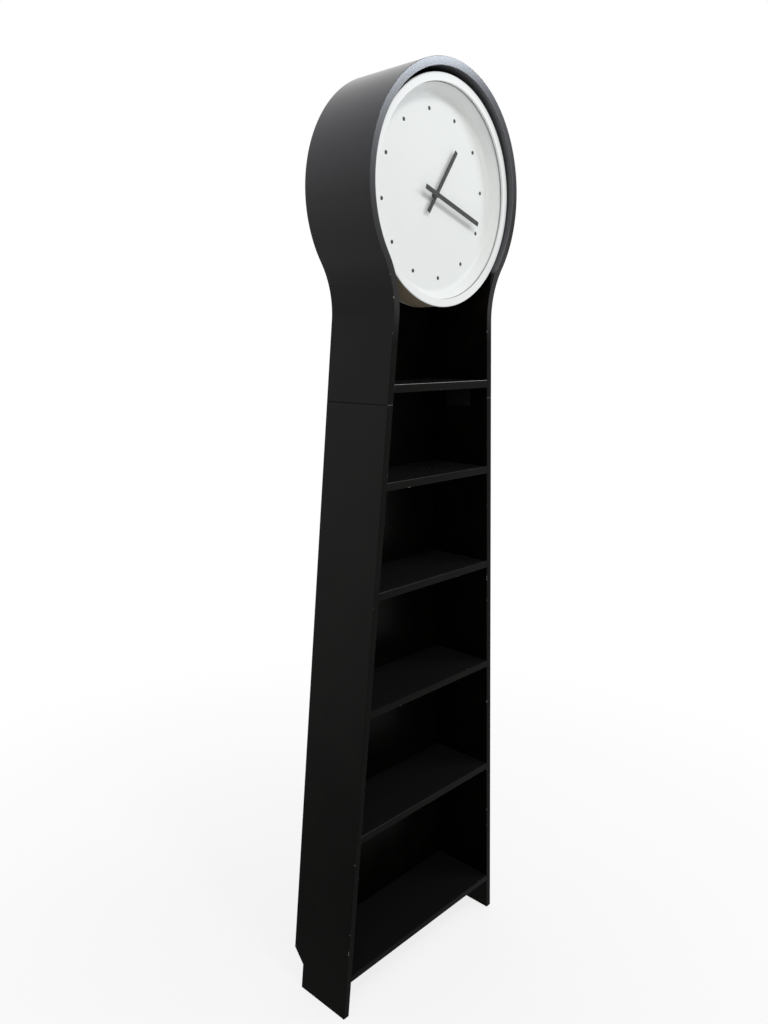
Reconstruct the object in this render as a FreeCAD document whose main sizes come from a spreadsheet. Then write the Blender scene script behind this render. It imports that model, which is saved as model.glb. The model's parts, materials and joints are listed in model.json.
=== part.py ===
import FreeCAD, Part
import math
import os
import Sketcher
from types import SimpleNamespace

# Driving sizes in millimetres, with the clock's turn in degrees
CASE_SIZES = (
    ("case_depth", 168), ("board", 16), ("ring_radius", 236), ("neck_radius", 170),
    ("head_rise", 410), ("seam_height", 1354), ("seam_width", 350), ("base_width", 568),
    ("rebate_width", 8), ("rebate_depth", 12), ("back_thickness", 8), ("panel_gap", 0.3),
    ("top_shelf_rise", 23), ("foot_gap", 85),
    ("notch_rise", 4), ("notch_depth", 30), ("notch_bevel", 30),
    ("overrun", 5), ("fit_gap", 0.05), ("seat_gap", 0.3), ("drill_gap", 0.5),
)
JOINERY_SIZES = (
    ("dowel_radius", 4), ("dowel_length", 30), ("dowel_sink", 11), ("dowel_setback", 40),
    ("cam_radius", 7.5), ("cam_height", 12.5), ("cam_reach", 24),
    ("cam_setback", 40), ("bolt_radius", 3), ("bolt_sink", 11), ("bolt_tip_radius", 3.8),
    ("bolt_tip", 3), ("seam_dowel_length", 40), ("seam_dowel_setback", 34),
    ("plate_width", 64), ("plate_length", 40), ("plate_thickness", 2), ("plate_screw_setback", 9),
    ("screw_radius", 1.75), ("screw_head_radius", 3.5), ("screw_head_height", 2),
    ("plate_screw_length", 14), ("pan_head_height", 1.6), ("back_screw_length", 26), ("back_screw_setback", 30),
    ("rail_height", 50), ("rail_thickness", 16),
    ("rail_dowel_radius", 3), ("rail_dowel_length", 20), ("rail_dowel_sink", 9),
    ("pad_front", 30), ("pad_length", 30),
    ("hanger_width", 60), ("hanger_height", 40), ("hanger_thickness", 2), ("hanger_rise", 150),
    ("hanger_hole_radius", 5), ("hanger_slot_radius", 2.5), ("hanger_slot", 9),
    ("hanger_screw_setback", 9), ("hanger_screw_length", 7),
)
CLOCK_SIZES = (
    ("ring_gap", 5), ("clock_drop", 4), ("clock_front", 11.5), ("clock_depth", 58.5), ("drum_wall", 2.5),
    ("rim_round", 3), ("rim_width", 12), ("rim_depth", 12.5), ("lens_sink", 5), ("lens_thickness", 2.5),
    ("lens_gap", 0.2), ("lens_ledge", 3), ("cove_width", 14), ("cove_depth", 18.5), ("cove_radius", 34),
    ("cove_wall", 4), ("flange_width", 14), ("flange_thickness", 3.5), ("dial_thickness", 2),
    ("dial_edge", 2), ("marker_setback", 27.5), ("marker_radius", 3.4), ("marker_thickness", 1.2),
    ("marker_proud", 0.4), ("boss_radius", 4), ("boss_setback", 6), ("boss_hole_radius", 1.3),
    ("boss_hole_depth", 12), ("cover_thickness", 3), ("cover_opening", 62),
    ("cover_screw_length", 11), ("cover_screw_radius", 1.3), ("cover_screw_head_radius", 2.8),
    ("dial_screw_radius", 1.1), ("dial_screw_head_radius", 2.4), ("dial_screw_length", 4.2),
    ("dial_screw_inset", 5),
    ("hand_thickness", 1), ("hour_hand_width", 7), ("minute_hand_width", 6),
    ("hand_boss_radius", 4.5), ("hour_hand_sink", 22.5), ("minute_hand_sink", 17.3),
)
MOVEMENT_SIZES = (
    ("movement_size", 56), ("movement_depth", 16), ("movement_wall", 1.2), ("gasket_thickness", 0.8),
    ("gasket_radius", 13), ("gear_module", 0.25), ("wheel_thickness", 1), ("pinion_overlap", 0.2),
    ("layer_front", 0.5), ("layer_pitch", 2), ("bridge_thickness", 1), ("bridge_gap", 0.5),
    ("arbor_radius", 0.8), ("pivot_radius", 0.5), ("pivot_length", 0.8), ("pivot_gap", 0.1),
    ("running_gap", 0.06), ("minute_arbor_radius", 1.5), ("pipe_wall", 0.94), ("bush_wall", 1.44),
    ("bush_length", 7), ("pipe_proud", 1.2), ("hub_radius", 2.6),
    ("washer_radius", 5.6), ("washer_thickness", 0.5), ("nut_across_flats", 10), ("nut_thickness", 2.5),
    ("knob_radius", 5.5), ("knob_thickness", 3.8), ("knob_rib", 0.5), ("knob_arbor_radius", 1),
    ("battery_radius", 7.25), ("battery_length", 49.5), ("nub_radius", 2.7), ("nub_length", 1),
    ("battery_gap", 0.3), ("contact_thickness", 0.5), ("contact_width", 10),
    ("magnet_radius", 2.6), ("magnet_length", 1.6), ("stator_gap", 0.3), ("stator_rim", 0.7),
    ("stator_thickness", 0.8), ("stator_width", 5), ("stator_leg", 2.2), ("coil_length", 18),
    ("coil_gap", 0.3), ("core_height", 2.4), ("coil_place", 12),
    ("circuit_width", 22), ("circuit_height", 12), ("circuit_thickness", 1),
    ("chip_radius", 3), ("chip_height", 1.2), ("crystal_radius", 1), ("crystal_length", 6),
    ("pillar_radius", 1.8), ("pillar_setback", 3.5), ("bridge_top", 12.5),
)

CLOCK_TURN = 8
SHOWN_MINUTES = 79.5
HOURS = 12
SCREW_COUNT = 4
PAD_ANGLES = (45, 135, 225, 315)
PAD_SWEEP = 8

# Undersides of shelves two to five as shares of the seam's height, and other shares
SHELF_SHARES = (0.8745, 0.7083, 0.52, 0.311)
RAIL_SHARE = 0.477
MINUTE_REACH_SHARE, MINUTE_TAIL_SHARE = 0.896, 0.24
HOUR_REACH_SHARE, HOUR_TAIL_SHARE = 0.669, 0.265

# Tooth counts of the clockwork, and each wheel's direction as a share of a turn clockwise from the top
CENTRE_TEETH, THIRD_TEETH, SECOND_TEETH, FIFTH_TEETH, LEAF_COUNT = 64, 60, 48, 40, 8
CANNON_TEETH, MOTION_TEETH, MOTION_LEAVES, HOUR_TEETH, KNOB_TEETH = 12, 36, 10, 40, 12
THIRD_TURN_SHARE, FIFTH_TURN_SHARE, ROTOR_TURN_SHARE = 29 / 36, 1 / 6, 1 / 24
MOTION_TURN_SHARE, KNOB_TURN_SHARE = 47 / 72, 13 / 18
MOTION_MODULE_SHARE = 1.2
ROTOR_MODULE_SHARE = 0.8
TOOTH_ROOT_SHARE, TOOTH_TIP_SHARE = 0.25, 0.07
TIP_SHARE, LEAF_TIP_SHARE, DEDENDUM_SHARE = 0.9, 0.75, 1.25

doc = FreeCAD.newDocument("FloorClock")
sheet = doc.addObject("Spreadsheet::Sheet", "Sizes")
nodes = []


class Size:
    """A length held both as a number and as the sheet formula that gives it."""

    def __init__(self, value, text=None):
        self.value = float(value)
        self.text = repr(self.value) if text is None else text

    def join(self, other, sign, value):
        return Size(value, f"({self.text} {sign} {other.text})")

    def __add__(self, other):
        other = sized(other)
        return self.join(other, "+", self.value + other.value)

    def __sub__(self, other):
        other = sized(other)
        return self.join(other, "-", self.value - other.value)

    def __mul__(self, other):
        other = sized(other)
        return self.join(other, "*", self.value * other.value)

    def __truediv__(self, other):
        other = sized(other)
        return self.join(other, "/", self.value / other.value)

    def __radd__(self, other):
        return sized(other) + self

    def __rsub__(self, other):
        return sized(other) - self

    def __rmul__(self, other):
        return sized(other) * self

    def __neg__(self):
        return Size(-self.value, f"(-1 * {self.text})")

    def __float__(self):
        return self.value


def sized(number):
    return number if isinstance(number, Size) else Size(number)


def root(size):
    return Size(math.sqrt(size.value), f"sqrt({size.text})")


def sine(degrees):
    return math.sin(math.radians(degrees))


def cosine(degrees):
    return math.cos(math.radians(degrees))


def fill_sheet():
    """Write every driving size into the sheet and return them by name."""
    named = SimpleNamespace()
    for row, (name, value) in enumerate(CASE_SIZES + JOINERY_SIZES + CLOCK_SIZES + MOVEMENT_SIZES, 1):
        sheet.set(f"A{row}", name)
        sheet.set(f"B{row}", str(value))
        sheet.setAlias(f"B{row}", name)
        setattr(named, name, Size(value, f"Sizes.{name}"))
    doc.recompute()
    return named


v = fill_sheet()

# Derived sizes of the case
front = -v.case_depth / 2
ring_height = v.seam_height + v.head_rise
total_height = ring_height + v.ring_radius
lean = (v.base_width - v.seam_width) / 2 / v.seam_height
stretch = root(1 + lean * lean)
board_across = v.board * stretch
rebate_across = v.rebate_width * stretch
shelf_depth = v.case_depth - v.rebate_depth
ring_inner = v.ring_radius - v.board

bottom_shelf = v.foot_gap
top_shelf = v.seam_height + v.top_shelf_rise
SHELVES = (top_shelf, *(v.seam_height * share for share in SHELF_SHARES), bottom_shelf)

# Derived sizes of the clock, as depths behind the case's front edge and radii from the ring's axis
clock_height = ring_height - v.clock_drop
clock_radius = ring_inner - v.ring_gap
clock_rear = v.clock_front + v.clock_depth
cover_front = clock_rear - v.cover_thickness
rim_inner = clock_radius - v.rim_width
lens_front = v.clock_front + v.lens_sink
lens_rear = lens_front + v.lens_thickness
ledge_radius = rim_inner - v.lens_ledge
foot_radius = ledge_radius - v.cove_width
foot_front = lens_rear + v.cove_depth
dial_front = foot_front + v.flange_thickness
dial_rear = dial_front + v.dial_thickness
flange_radius = foot_radius + v.flange_width
dial_radius = flange_radius - v.dial_edge
marker_circle = foot_radius - v.marker_setback
rail_front = clock_rear + v.pan_head_height + v.seat_gap
rail_place = ring_inner * RAIL_SHARE

# Derived depths of the clockwork
movement_front = dial_rear + v.gasket_thickness
movement_rear = movement_front + v.movement_depth
inner_front = movement_front + v.movement_wall
inner_rear = movement_rear - v.movement_wall
pipe_bore = v.minute_arbor_radius + v.running_gap
pipe_radius = pipe_bore + v.pipe_wall
bush_bore = pipe_radius + v.running_gap
bush_radius = bush_bore + v.bush_wall
LAYER_HOUR = inner_front + v.layer_front
LAYER_MOTION = LAYER_HOUR + v.layer_pitch
LAYER_CENTRE = LAYER_MOTION + v.layer_pitch
bridge_front = LAYER_CENTRE + v.wheel_thickness + v.bridge_gap
bridge_rear = bridge_front + v.bridge_thickness
LAYER_THIRD = bridge_rear + v.bridge_gap + v.pinion_overlap / 2
LAYER_SECOND = LAYER_THIRD + v.layer_pitch
half_movement = v.movement_size / 2
battery_place = half_movement - v.movement_wall - v.battery_gap - v.battery_radius
bay_top = battery_place - v.battery_radius - v.battery_gap
bay_half_length = v.battery_length / 2 + v.nub_length / 2 + v.battery_gap + v.contact_thickness

# Centre distances of the wheels
motion_module = v.gear_module * MOTION_MODULE_SHARE
rotor_module = v.gear_module * ROTOR_MODULE_SHARE
third_distance = v.gear_module * (CENTRE_TEETH + LEAF_COUNT) / 2
third_module = third_distance * 2 / (THIRD_TEETH + LEAF_COUNT)
fifth_distance = v.gear_module * (SECOND_TEETH + LEAF_COUNT) / 2
rotor_distance = rotor_module * (FIFTH_TEETH + LEAF_COUNT) / 2
motion_distance = motion_module * (CANNON_TEETH + MOTION_TEETH) / 2
hour_module = motion_distance * 2 / (MOTION_LEAVES + HOUR_TEETH)
knob_distance = motion_module * (MOTION_TEETH + KNOB_TEETH) / 2


def step_to(start, distance, direction):
    """The place reached from start by a distance in a direction clockwise from the top."""
    return start[0] + distance * sine(direction), start[1] + distance * cosine(direction)


THIRD_DIRECTION, FIFTH_DIRECTION, ROTOR_DIRECTION, MOTION_DIRECTION, KNOB_DIRECTION = (
    360 * share for share in (THIRD_TURN_SHARE, FIFTH_TURN_SHARE, ROTOR_TURN_SHARE, MOTION_TURN_SHARE,
                              KNOB_TURN_SHARE))
CENTRE = (sized(0), sized(0))
THIRD = step_to(CENTRE, third_distance, THIRD_DIRECTION)
FIFTH = step_to(CENTRE, fifth_distance, FIFTH_DIRECTION)
ROTOR = step_to(FIFTH, rotor_distance, ROTOR_DIRECTION)
MOTION = step_to(CENTRE, motion_distance, MOTION_DIRECTION)
KNOB = step_to(MOTION, knob_distance, KNOB_DIRECTION)


# Helpers that tie an object's sizes to the sheet
def bind(item, **sizes):
    for name, size in sizes.items():
        size = sized(size)
        setattr(item, name, size.value)
        if "Sizes." in size.text:
            item.setExpression(name, size.text)
    return item


def place(item, x=0, y=0, z=0, axis=(0, 1, 0), turn=0):
    """Put an object at bound coordinates, turned about an axis."""
    turn = sized(turn)
    x, y, z = sized(x), sized(y), sized(z)
    item.Placement = FreeCAD.Placement(
        FreeCAD.Vector(x.value, y.value, z.value), FreeCAD.Rotation(FreeCAD.Vector(*axis), turn.value))
    for name, size in zip("xyz", (x, y, z)):
        if "Sizes." in size.text:
            item.setExpression(f"Placement.Base.{name}", size.text)
    if "Sizes." in turn.text:
        item.setExpression("Placement.Rotation.Angle", turn.text)
    return item


def node(item, name):
    item.Label = name
    nodes.append(item)
    return item


def clock_node(item, name, turn=0):
    """Put a piece that was drawn about the dial's axis into the ring."""
    place(item, 0, front, clock_height, turn=turn - CLOCK_TURN)
    return node(item, name)


def box(name, wide, deep, tall, x=0, y=0, z=0):
    item = doc.addObject("Part::Box", name)
    bind(item, Length=wide, Width=deep, Height=tall)
    return place(item, x, y, z)


AXIS_TURNS = {"x": ((0, 1, 0), 90), "y": ((1, 0, 0), -90), "z": ((0, 0, 1), 0)}


def rod(name, radius, length, x=0, y=0, z=0, along="y"):
    item = doc.addObject("Part::Cylinder", name)
    bind(item, Radius=radius, Height=length)
    axis, turn = AXIS_TURNS[along]
    return place(item, x, y, z, axis, turn)


def cone(name, radius, end_radius, length, x=0, y=0, z=0, along="y"):
    item = doc.addObject("Part::Cone", name)
    bind(item, Radius1=radius, Radius2=end_radius, Height=length)
    axis, turn = AXIS_TURNS[along]
    return place(item, x, y, z, axis, turn)


def cut(name, base, tools):
    item = doc.addObject("Part::Cut", name)
    item.Base = base
    item.Tool = tools[0] if len(tools) == 1 else group(name + "_tools", tools)
    return item


def fuse(name, pieces):
    item = doc.addObject("Part::MultiFuse", name)
    item.Shapes = pieces
    return item


def group(name, pieces):
    item = doc.addObject("Part::Compound", name)
    item.Links = pieces
    return item


def body(name):
    return doc.addObject("PartDesign::Body", name + "_body")


PLANE_ROLES = {"xz": "XZ_Plane", "yz": "YZ_Plane", "xy": "XY_Plane"}


def sketch_on(owner, name, plane, lift=0):
    """An empty sketch on an origin plane of its own body, lifted along the plane's normal."""
    drawing = owner.newObject("Sketcher::SketchObject", name)
    role = PLANE_ROLES[plane]
    drawing.AttachmentSupport = [(next(f for f in owner.Origin.OriginFeatures if f.Role == role), "")]
    drawing.MapMode = "FlatFace"
    lift = sized(lift)
    drawing.AttachmentOffset = FreeCAD.Placement(FreeCAD.Vector(0, 0, lift.value), FreeCAD.Rotation())
    if "Sizes." in lift.text:
        drawing.setExpression("AttachmentOffset.Base.z", lift.text)
    return drawing


def rule(drawing, kind, *terms, size=None):
    """Add a constraint and tie its value to the sheet."""
    if size is None:
        return drawing.addConstraint(Sketcher.Constraint(kind, *terms))
    size = sized(size)
    index = drawing.addConstraint(Sketcher.Constraint(kind, *terms, size.value))
    if "Sizes." in size.text:
        drawing.setExpression(f"Constraints[{index}]", size.text)
    return index


def flat(x, y):
    return FreeCAD.Vector(float(x), float(y), 0)


def arc_between(start, end, radius):
    """The short arc from start to end: a positive radius turns to the left, a negative one to the right."""
    chord = end - start
    middle = (start + end) / 2
    side = math.copysign(math.sqrt(max(radius ** 2 - (chord.Length / 2) ** 2, 0)), radius)
    normal = FreeCAD.Vector(-chord.y, chord.x, 0).normalize()
    centre = middle + normal * side
    first = math.atan2(start.y - centre.y, start.x - centre.x)
    last = math.atan2(end.y - centre.y, end.x - centre.x)
    if radius < 0:
        first, last = last, first
    circle = Part.Circle(centre, FreeCAD.Vector(0, 0, 1), abs(radius))
    return Part.ArcOfCircle(circle, first, last if last > first else last + 2 * math.pi)


def outline(drawing, corners):
    """A closed outline of bound corners: a third term is the radius of the arc to the next corner."""
    base = drawing.GeometryCount
    count = len(corners)
    heads, tails = [], []
    for index, corner in enumerate(corners):
        following = corners[(index + 1) % count]
        start, end = flat(*corner[:2]), flat(*following[:2])
        if len(corner) == 2:
            drawing.addGeometry(Part.LineSegment(start, end))
            heads.append(1)
            tails.append(2)
        else:
            drawing.addGeometry(arc_between(start, end, float(corner[2])))
            heads.append(1 if float(corner[2]) > 0 else 2)
            tails.append(2 if float(corner[2]) > 0 else 1)
            rule(drawing, "Radius", base + index,
                 size=corner[2] if float(corner[2]) > 0 else -sized(corner[2]))
    for index, corner in enumerate(corners):
        here, after = base + index, base + (index + 1) % count
        rule(drawing, "Coincident", here, tails[index], after, heads[(index + 1) % count])
        for kind, size, axis in (("DistanceX", corner[0], -2), ("DistanceY", corner[1], -1)):
            if float(size):
                rule(drawing, kind, -1, 1, here, heads[index], size=size)
            else:
                rule(drawing, "PointOnObject", here, heads[index], axis)
    return drawing


def feature(owner, kind, name, drawing, length, reverse=False, both=False):
    item = owner.newObject("PartDesign::" + kind, name)
    item.Profile = drawing
    bind(item, Length=length)
    item.Reversed = reverse
    item.Midplane = both
    drawing.Visibility = False
    return item


def slab(owner, name, corners, deep, start=0):
    """Pad an outline of the front view from a depth towards the rear."""
    drawing = outline(sketch_on(owner, name + "_outline", "xz", -sized(start)), corners)
    return feature(owner, "Pad", name, drawing, deep, reverse=True)


SCREW_TURNS = {"y": 0, "-y": 180, "x": -90, "-x": 90}


def sunk_screw(name, length, x, y, z, along):
    """A countersunk screw whose head's face lies at the given place, and the bore that takes it."""
    head = cone(name + "_head", v.screw_head_radius, v.screw_radius, v.screw_head_height)
    shank = rod(name + "_shank", v.screw_radius, length - v.screw_head_height, 0, v.screw_head_height)
    whole = fuse(name, [head, shank])
    head_bore = cone(name + "_sink", v.screw_head_radius + v.fit_gap, v.screw_radius + v.fit_gap,
                     v.screw_head_height)
    mouth = rod(name + "_mouth", v.screw_head_radius + v.fit_gap, v.overrun, 0, -v.overrun)
    bore = rod(name + "_bore", v.screw_radius + v.fit_gap, length + v.drill_gap)
    tool = fuse(name + "_tool", [head_bore, mouth, bore])
    for item in (whole, tool):
        place(item, x, y, z, (0, 0, 1), SCREW_TURNS[along])
    return whole, tool


def pan_screw(name, radius, head_radius, length, x, y, z, along):
    """A screw whose round head stands on the face at the given place, and the bore that takes it."""
    head = rod(name + "_head", head_radius, v.pan_head_height, 0, -v.pan_head_height)
    whole = fuse(name, [head, rod(name + "_shank", radius, length)])
    bore = group(name + "_hole", [rod(name + "_bore", radius + v.fit_gap, length + v.drill_gap + v.overrun,
                                      0, -v.overrun)])
    for item in (whole, bore):
        place(item, x, y, z, (0, 0, 1), SCREW_TURNS[along])
    return whole, bore


def side_outer(z):
    return v.base_width / 2 - lean * z


def side_inner(z):
    return side_outer(z) - board_across


# Bent head shell: straight cheeks, flared neck and round ring from one board
def half_omega(drawing, inset, wall=None):
    """The right half of the head's outline, inset from the outer face, open or closed at the axis."""
    radius = v.ring_radius - inset
    flare = v.neck_radius + inset
    angle = math.atan(lean.value)
    normal = FreeCAD.Vector(math.cos(angle), math.sin(angle), 0)
    along = FreeCAD.Vector(-math.sin(angle), math.cos(angle), 0)
    foot = flat(v.base_width / 2, 0) - normal * inset.value
    hub = flat(0, ring_height)
    offset = (hub - foot).dot(normal)
    reach = math.sqrt((v.ring_radius.value + v.neck_radius.value) ** 2
                      - (flare.value - offset) ** 2)
    centre = foot + normal * flare.value + along * ((hub - foot).dot(along) - reach)
    line_end = centre - normal * flare.value
    ring_end = centre + (hub - centre).normalize() * flare.value
    seam = foot + along * ((v.seam_height.value - foot.y) / along.y)
    start = math.atan2(ring_end.y - hub.y, ring_end.x)
    up = FreeCAD.Vector(0, 0, 1)
    ring = drawing.addGeometry(Part.ArcOfCircle(Part.Circle(hub, up, radius.value), start, math.pi / 2))
    first = math.atan2(ring_end.y - centre.y, ring_end.x - centre.x) % (2 * math.pi)
    last = math.atan2(line_end.y - centre.y, line_end.x - centre.x) % (2 * math.pi)
    bend = drawing.addGeometry(Part.ArcOfCircle(Part.Circle(centre, up, flare.value), first, last))
    side = drawing.addGeometry(Part.LineSegment(line_end, seam))
    rule(drawing, "Tangent", ring, 1, bend, 1)
    rule(drawing, "Tangent", bend, 2, side, 1)
    rule(drawing, "Radius", ring, size=radius)
    rule(drawing, "Radius", bend, size=flare)
    rule(drawing, "PointOnObject", ring, 3, -2)
    rule(drawing, "DistanceY", -1, 1, ring, 3, size=ring_height)
    rule(drawing, "PointOnObject", ring, 2, -2)
    rule(drawing, "DistanceX", -1, 1, side, 2, size=v.seam_width / 2 - inset * stretch)
    rule(drawing, "DistanceY", -1, 1, side, 2, size=v.seam_height)
    if wall is None:
        return ring, side
    inner_ring, inner_side = half_omega(drawing, inset + wall)
    for first_end, second_end, point in ((side, inner_side, 2), (ring, inner_ring, 2)):
        index = drawing.addGeometry(Part.LineSegment(
            drawing.getPoint(first_end, point), drawing.getPoint(second_end, point)))
        rule(drawing, "Coincident", first_end, point, index, 1)
        rule(drawing, "Coincident", second_end, point, index, 2)
    return ring, side


def mirrored(owner, name, originals):
    item = owner.newObject("PartDesign::Mirrored", name)
    item.Originals = originals
    item.MirrorPlane = (next(f for f in owner.Origin.OriginFeatures if f.Role == "YZ_Plane"), [""])
    owner.Tip = item
    return item


def make_head_shell(bores):
    owner = body("head_shell")
    thick = sketch_on(owner, "shell_front_outline", "xz", -front)
    half_omega(thick, sized(0), v.board)
    thin = sketch_on(owner, "shell_rear_outline", "xz", -(front + shelf_depth))
    half_omega(thin, sized(0), v.board - v.rebate_width)
    pads = [feature(owner, "Pad", "shell_front", thick, shelf_depth, reverse=True),
            feature(owner, "Pad", "shell_rear", thin, v.rebate_depth, reverse=True)]
    mirrored(owner, "shell_mirror", pads)
    return node(cut("head_shell_bored", owner, bores), "head_shell")


# Side panels: leaning boards with a rebate for the back and a notch over the skirting board
def make_side_panel(name, side, bores):
    owner = body(name)
    top, bottom = side_outer(v.seam_height), v.base_width / 2
    for part, wall, start, deep in (
            ("front", board_across, front, shelf_depth),
            ("rear", board_across - rebate_across, front + shelf_depth, v.rebate_depth)):
        corners = [(side * bottom, 0), (side * top, v.seam_height),
                   (side * (top - wall), v.seam_height), (side * (bottom - wall), 0)]
        slab(owner, f"{name}_{part}", corners, deep, start)
    rear = -front
    notch = outline(sketch_on(owner, name + "_notch_outline", "yz"), [
        (rear - v.notch_depth, -v.overrun), (rear + v.overrun, -v.overrun),
        (rear + v.overrun, v.foot_gap + v.notch_rise), (rear, v.foot_gap + v.notch_rise),
        (rear - v.notch_depth, v.foot_gap + v.notch_rise - v.notch_bevel)])
    feature(owner, "Pocket", name + "_notch", notch, v.base_width + v.overrun, both=True)
    return node(cut(name + "_bored", owner, bores), name)


# Shelves with ends cut to the lean of the sides
def make_shelf(name, underside, bores):
    owner = body(name)
    low, high = side_inner(underside), side_inner(underside + v.board)
    slab(owner, name + "_board", [(-low, underside), (low, underside), (high, underside + v.board),
                                  (-high, underside + v.board)], shelf_depth, front)
    return node(cut(name + "_bored", owner, bores), name)


# A dowel, a cam bolt and a cam lock at each end of one shelf, with the bores that take them
def shelf_fittings(name, underside):
    middle = underside + v.board / 2
    dowel_y = front + v.dowel_setback
    cam_y = front + shelf_depth - v.cam_setback
    found = SimpleNamespace(dowels=[], bolts=[], cams=[], side_bores=[], shelf_bores=[])
    for side, mark in ((1, "right"), (-1, "left")):
        face = side * side_inner(middle)
        inward = -90 * side
        label = f"{name}_{mark}_dowel"
        dowel = rod(label, v.dowel_radius, v.dowel_length)
        place(dowel, face + side * v.dowel_sink, dowel_y, middle, (0, 1, 0), inward)
        dowel_bore = rod(label + "_bore", v.dowel_radius + v.fit_gap, v.dowel_length + v.drill_gap * 2)
        place(dowel_bore, face + side * (v.dowel_sink + v.drill_gap), dowel_y, middle, (0, 1, 0), inward)
        label = f"{name}_{mark}_bolt"
        neck = v.bolt_sink + v.cam_reach - v.bolt_tip
        bolt = fuse(label, [
            rod(label + "_shank", v.bolt_radius, neck, along="z"),
            rod(label + "_tip", v.bolt_tip_radius, v.bolt_tip, 0, 0, neck, along="z")])
        place(bolt, face + side * v.bolt_sink, cam_y, middle, (0, 1, 0), inward)
        screw_bore = rod(label + "_screw_bore", v.bolt_radius + v.fit_gap, v.bolt_sink + v.drill_gap * 2)
        place(screw_bore, face + side * (v.bolt_sink + v.drill_gap), cam_y, middle, (0, 1, 0), inward)
        run_bore = rod(label + "_run_bore", v.bolt_tip_radius + v.drill_gap, v.cam_reach + v.overrun)
        place(run_bore, face + side * v.overrun, cam_y, middle, (0, 1, 0), inward)
        label = f"{name}_{mark}_cam"
        cam_x = face - side * v.cam_reach
        disc = rod(label + "_disc", v.cam_radius, v.cam_height, cam_x, cam_y, underside, along="z")
        wide = (v.bolt_tip_radius + v.drill_gap) * 2
        slot = box(label + "_slot", v.cam_radius + v.overrun + v.bolt_tip, wide, v.cam_height,
                   cam_x - v.bolt_tip if side > 0 else cam_x - v.cam_radius - v.overrun,
                   cam_y - wide / 2, middle - wide / 2)
        cam_bore = rod(label + "_bore", v.cam_radius + v.fit_gap, v.cam_height + v.drill_gap + v.overrun,
                       cam_x, cam_y, underside - v.overrun, along="z")
        found.dowels.append(dowel)
        found.bolts.append(bolt)
        found.cams.append(cut(label, disc, [slot]))
        found.side_bores += [dowel_bore, screw_bore]
        found.shelf_bores += [dowel_bore, run_bore, cam_bore]
    return found


# Dowels and steel plates across the seam between the head and the sides
def seam_fittings():
    found = SimpleNamespace(dowels=[], bores=[], plates=[], screws=[], screw_bores={1: [], -1: []})
    x = side_outer(v.seam_height) - board_across / 2
    half_wide, half_tall = v.plate_width / 2, v.plate_length / 2
    for side, mark in ((1, "right"), (-1, "left")):
        for y in (front + v.seam_dowel_setback, front + shelf_depth - v.seam_dowel_setback):
            number = len(found.dowels) + 1
            found.dowels.append(rod(f"seam_dowel_{number}", v.dowel_radius, v.seam_dowel_length, side * x,
                                    y, v.seam_height - v.seam_dowel_length / 2, along="z"))
            found.bores.append(rod(f"seam_bore_{number}", v.dowel_radius + v.fit_gap,
                                   v.seam_dowel_length + v.drill_gap * 2, side * x, y,
                                   v.seam_height - v.seam_dowel_length / 2 - v.drill_gap, along="z"))
        plate = box(f"seam_plate_{mark}_blank", v.plate_thickness, v.plate_width, v.plate_length,
                    -v.plate_thickness if side > 0 else 0, -half_wide, -half_tall)
        screws, tools = [], []
        for across in (-1, 1):
            for up in (-1, 1):
                item, tool = pan_screw(f"seam_screw_{mark}_{len(screws) + 1}", v.screw_radius,
                                       v.screw_head_radius, v.plate_screw_length,
                                       -side * v.plate_thickness,
                                       across * (half_wide - v.plate_screw_setback),
                                       up * (half_tall - v.plate_screw_setback),
                                       "x" if side > 0 else "-x")
                screws.append(item)
                tools.append(tool)
        drilled = cut(f"seam_plate_{mark}", plate, tools)
        screw_set = group(f"seam_screws_{mark}", screws)
        bore_set = group(f"seam_screw_bores_{mark}", tools)
        angle = Size(side * -math.degrees(math.atan(lean.value)), f"({-side} * atan({lean.text}))")
        for item in (drilled, screw_set, bore_set):
            place(item, side * side_inner(v.seam_height), front + shelf_depth / 2, v.seam_height,
                  (0, 1, 0), angle)
        found.plates.append(drilled)
        found.screws.append(screw_set)
        found.screw_bores[side].append(bore_set)
    return found


# Back panels and their screws
def make_lower_back(bores):
    owner = body("lower_back_panel")
    reach = rebate_across - v.panel_gap
    low, high = bottom_shelf, v.seam_height
    slab(owner, "lower_back_board", [
        (-(side_inner(low) + reach), low), (side_inner(low) + reach, low),
        (side_inner(high) + reach, high), (-(side_inner(high) + reach), high)],
        v.back_thickness, front + shelf_depth)
    return node(cut("lower_back_bored", owner, bores), "lower_back_panel")


def make_head_back(bores):
    owner = body("head_back_panel")
    drawing = sketch_on(owner, "head_back_outline", "xz", -(front + shelf_depth))
    ring, side = half_omega(drawing, v.board - v.rebate_width + v.panel_gap)
    crown = drawing.getPoint(ring, 2)
    seam = drawing.getPoint(side, 2)
    foot = drawing.addGeometry(Part.LineSegment(seam, flat(0, v.seam_height)))
    axis = drawing.addGeometry(Part.LineSegment(flat(0, v.seam_height), crown))
    rule(drawing, "Coincident", side, 2, foot, 1)
    rule(drawing, "Coincident", foot, 2, axis, 1)
    rule(drawing, "Coincident", axis, 2, ring, 2)
    rule(drawing, "Horizontal", foot)
    rule(drawing, "PointOnObject", axis, 1, -2)
    board = feature(owner, "Pad", "head_back_board", drawing, v.back_thickness, reverse=True)
    mirrored(owner, "head_back_mirror", [board])
    return node(cut("head_back_bored", owner, bores), "head_back_panel")


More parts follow.
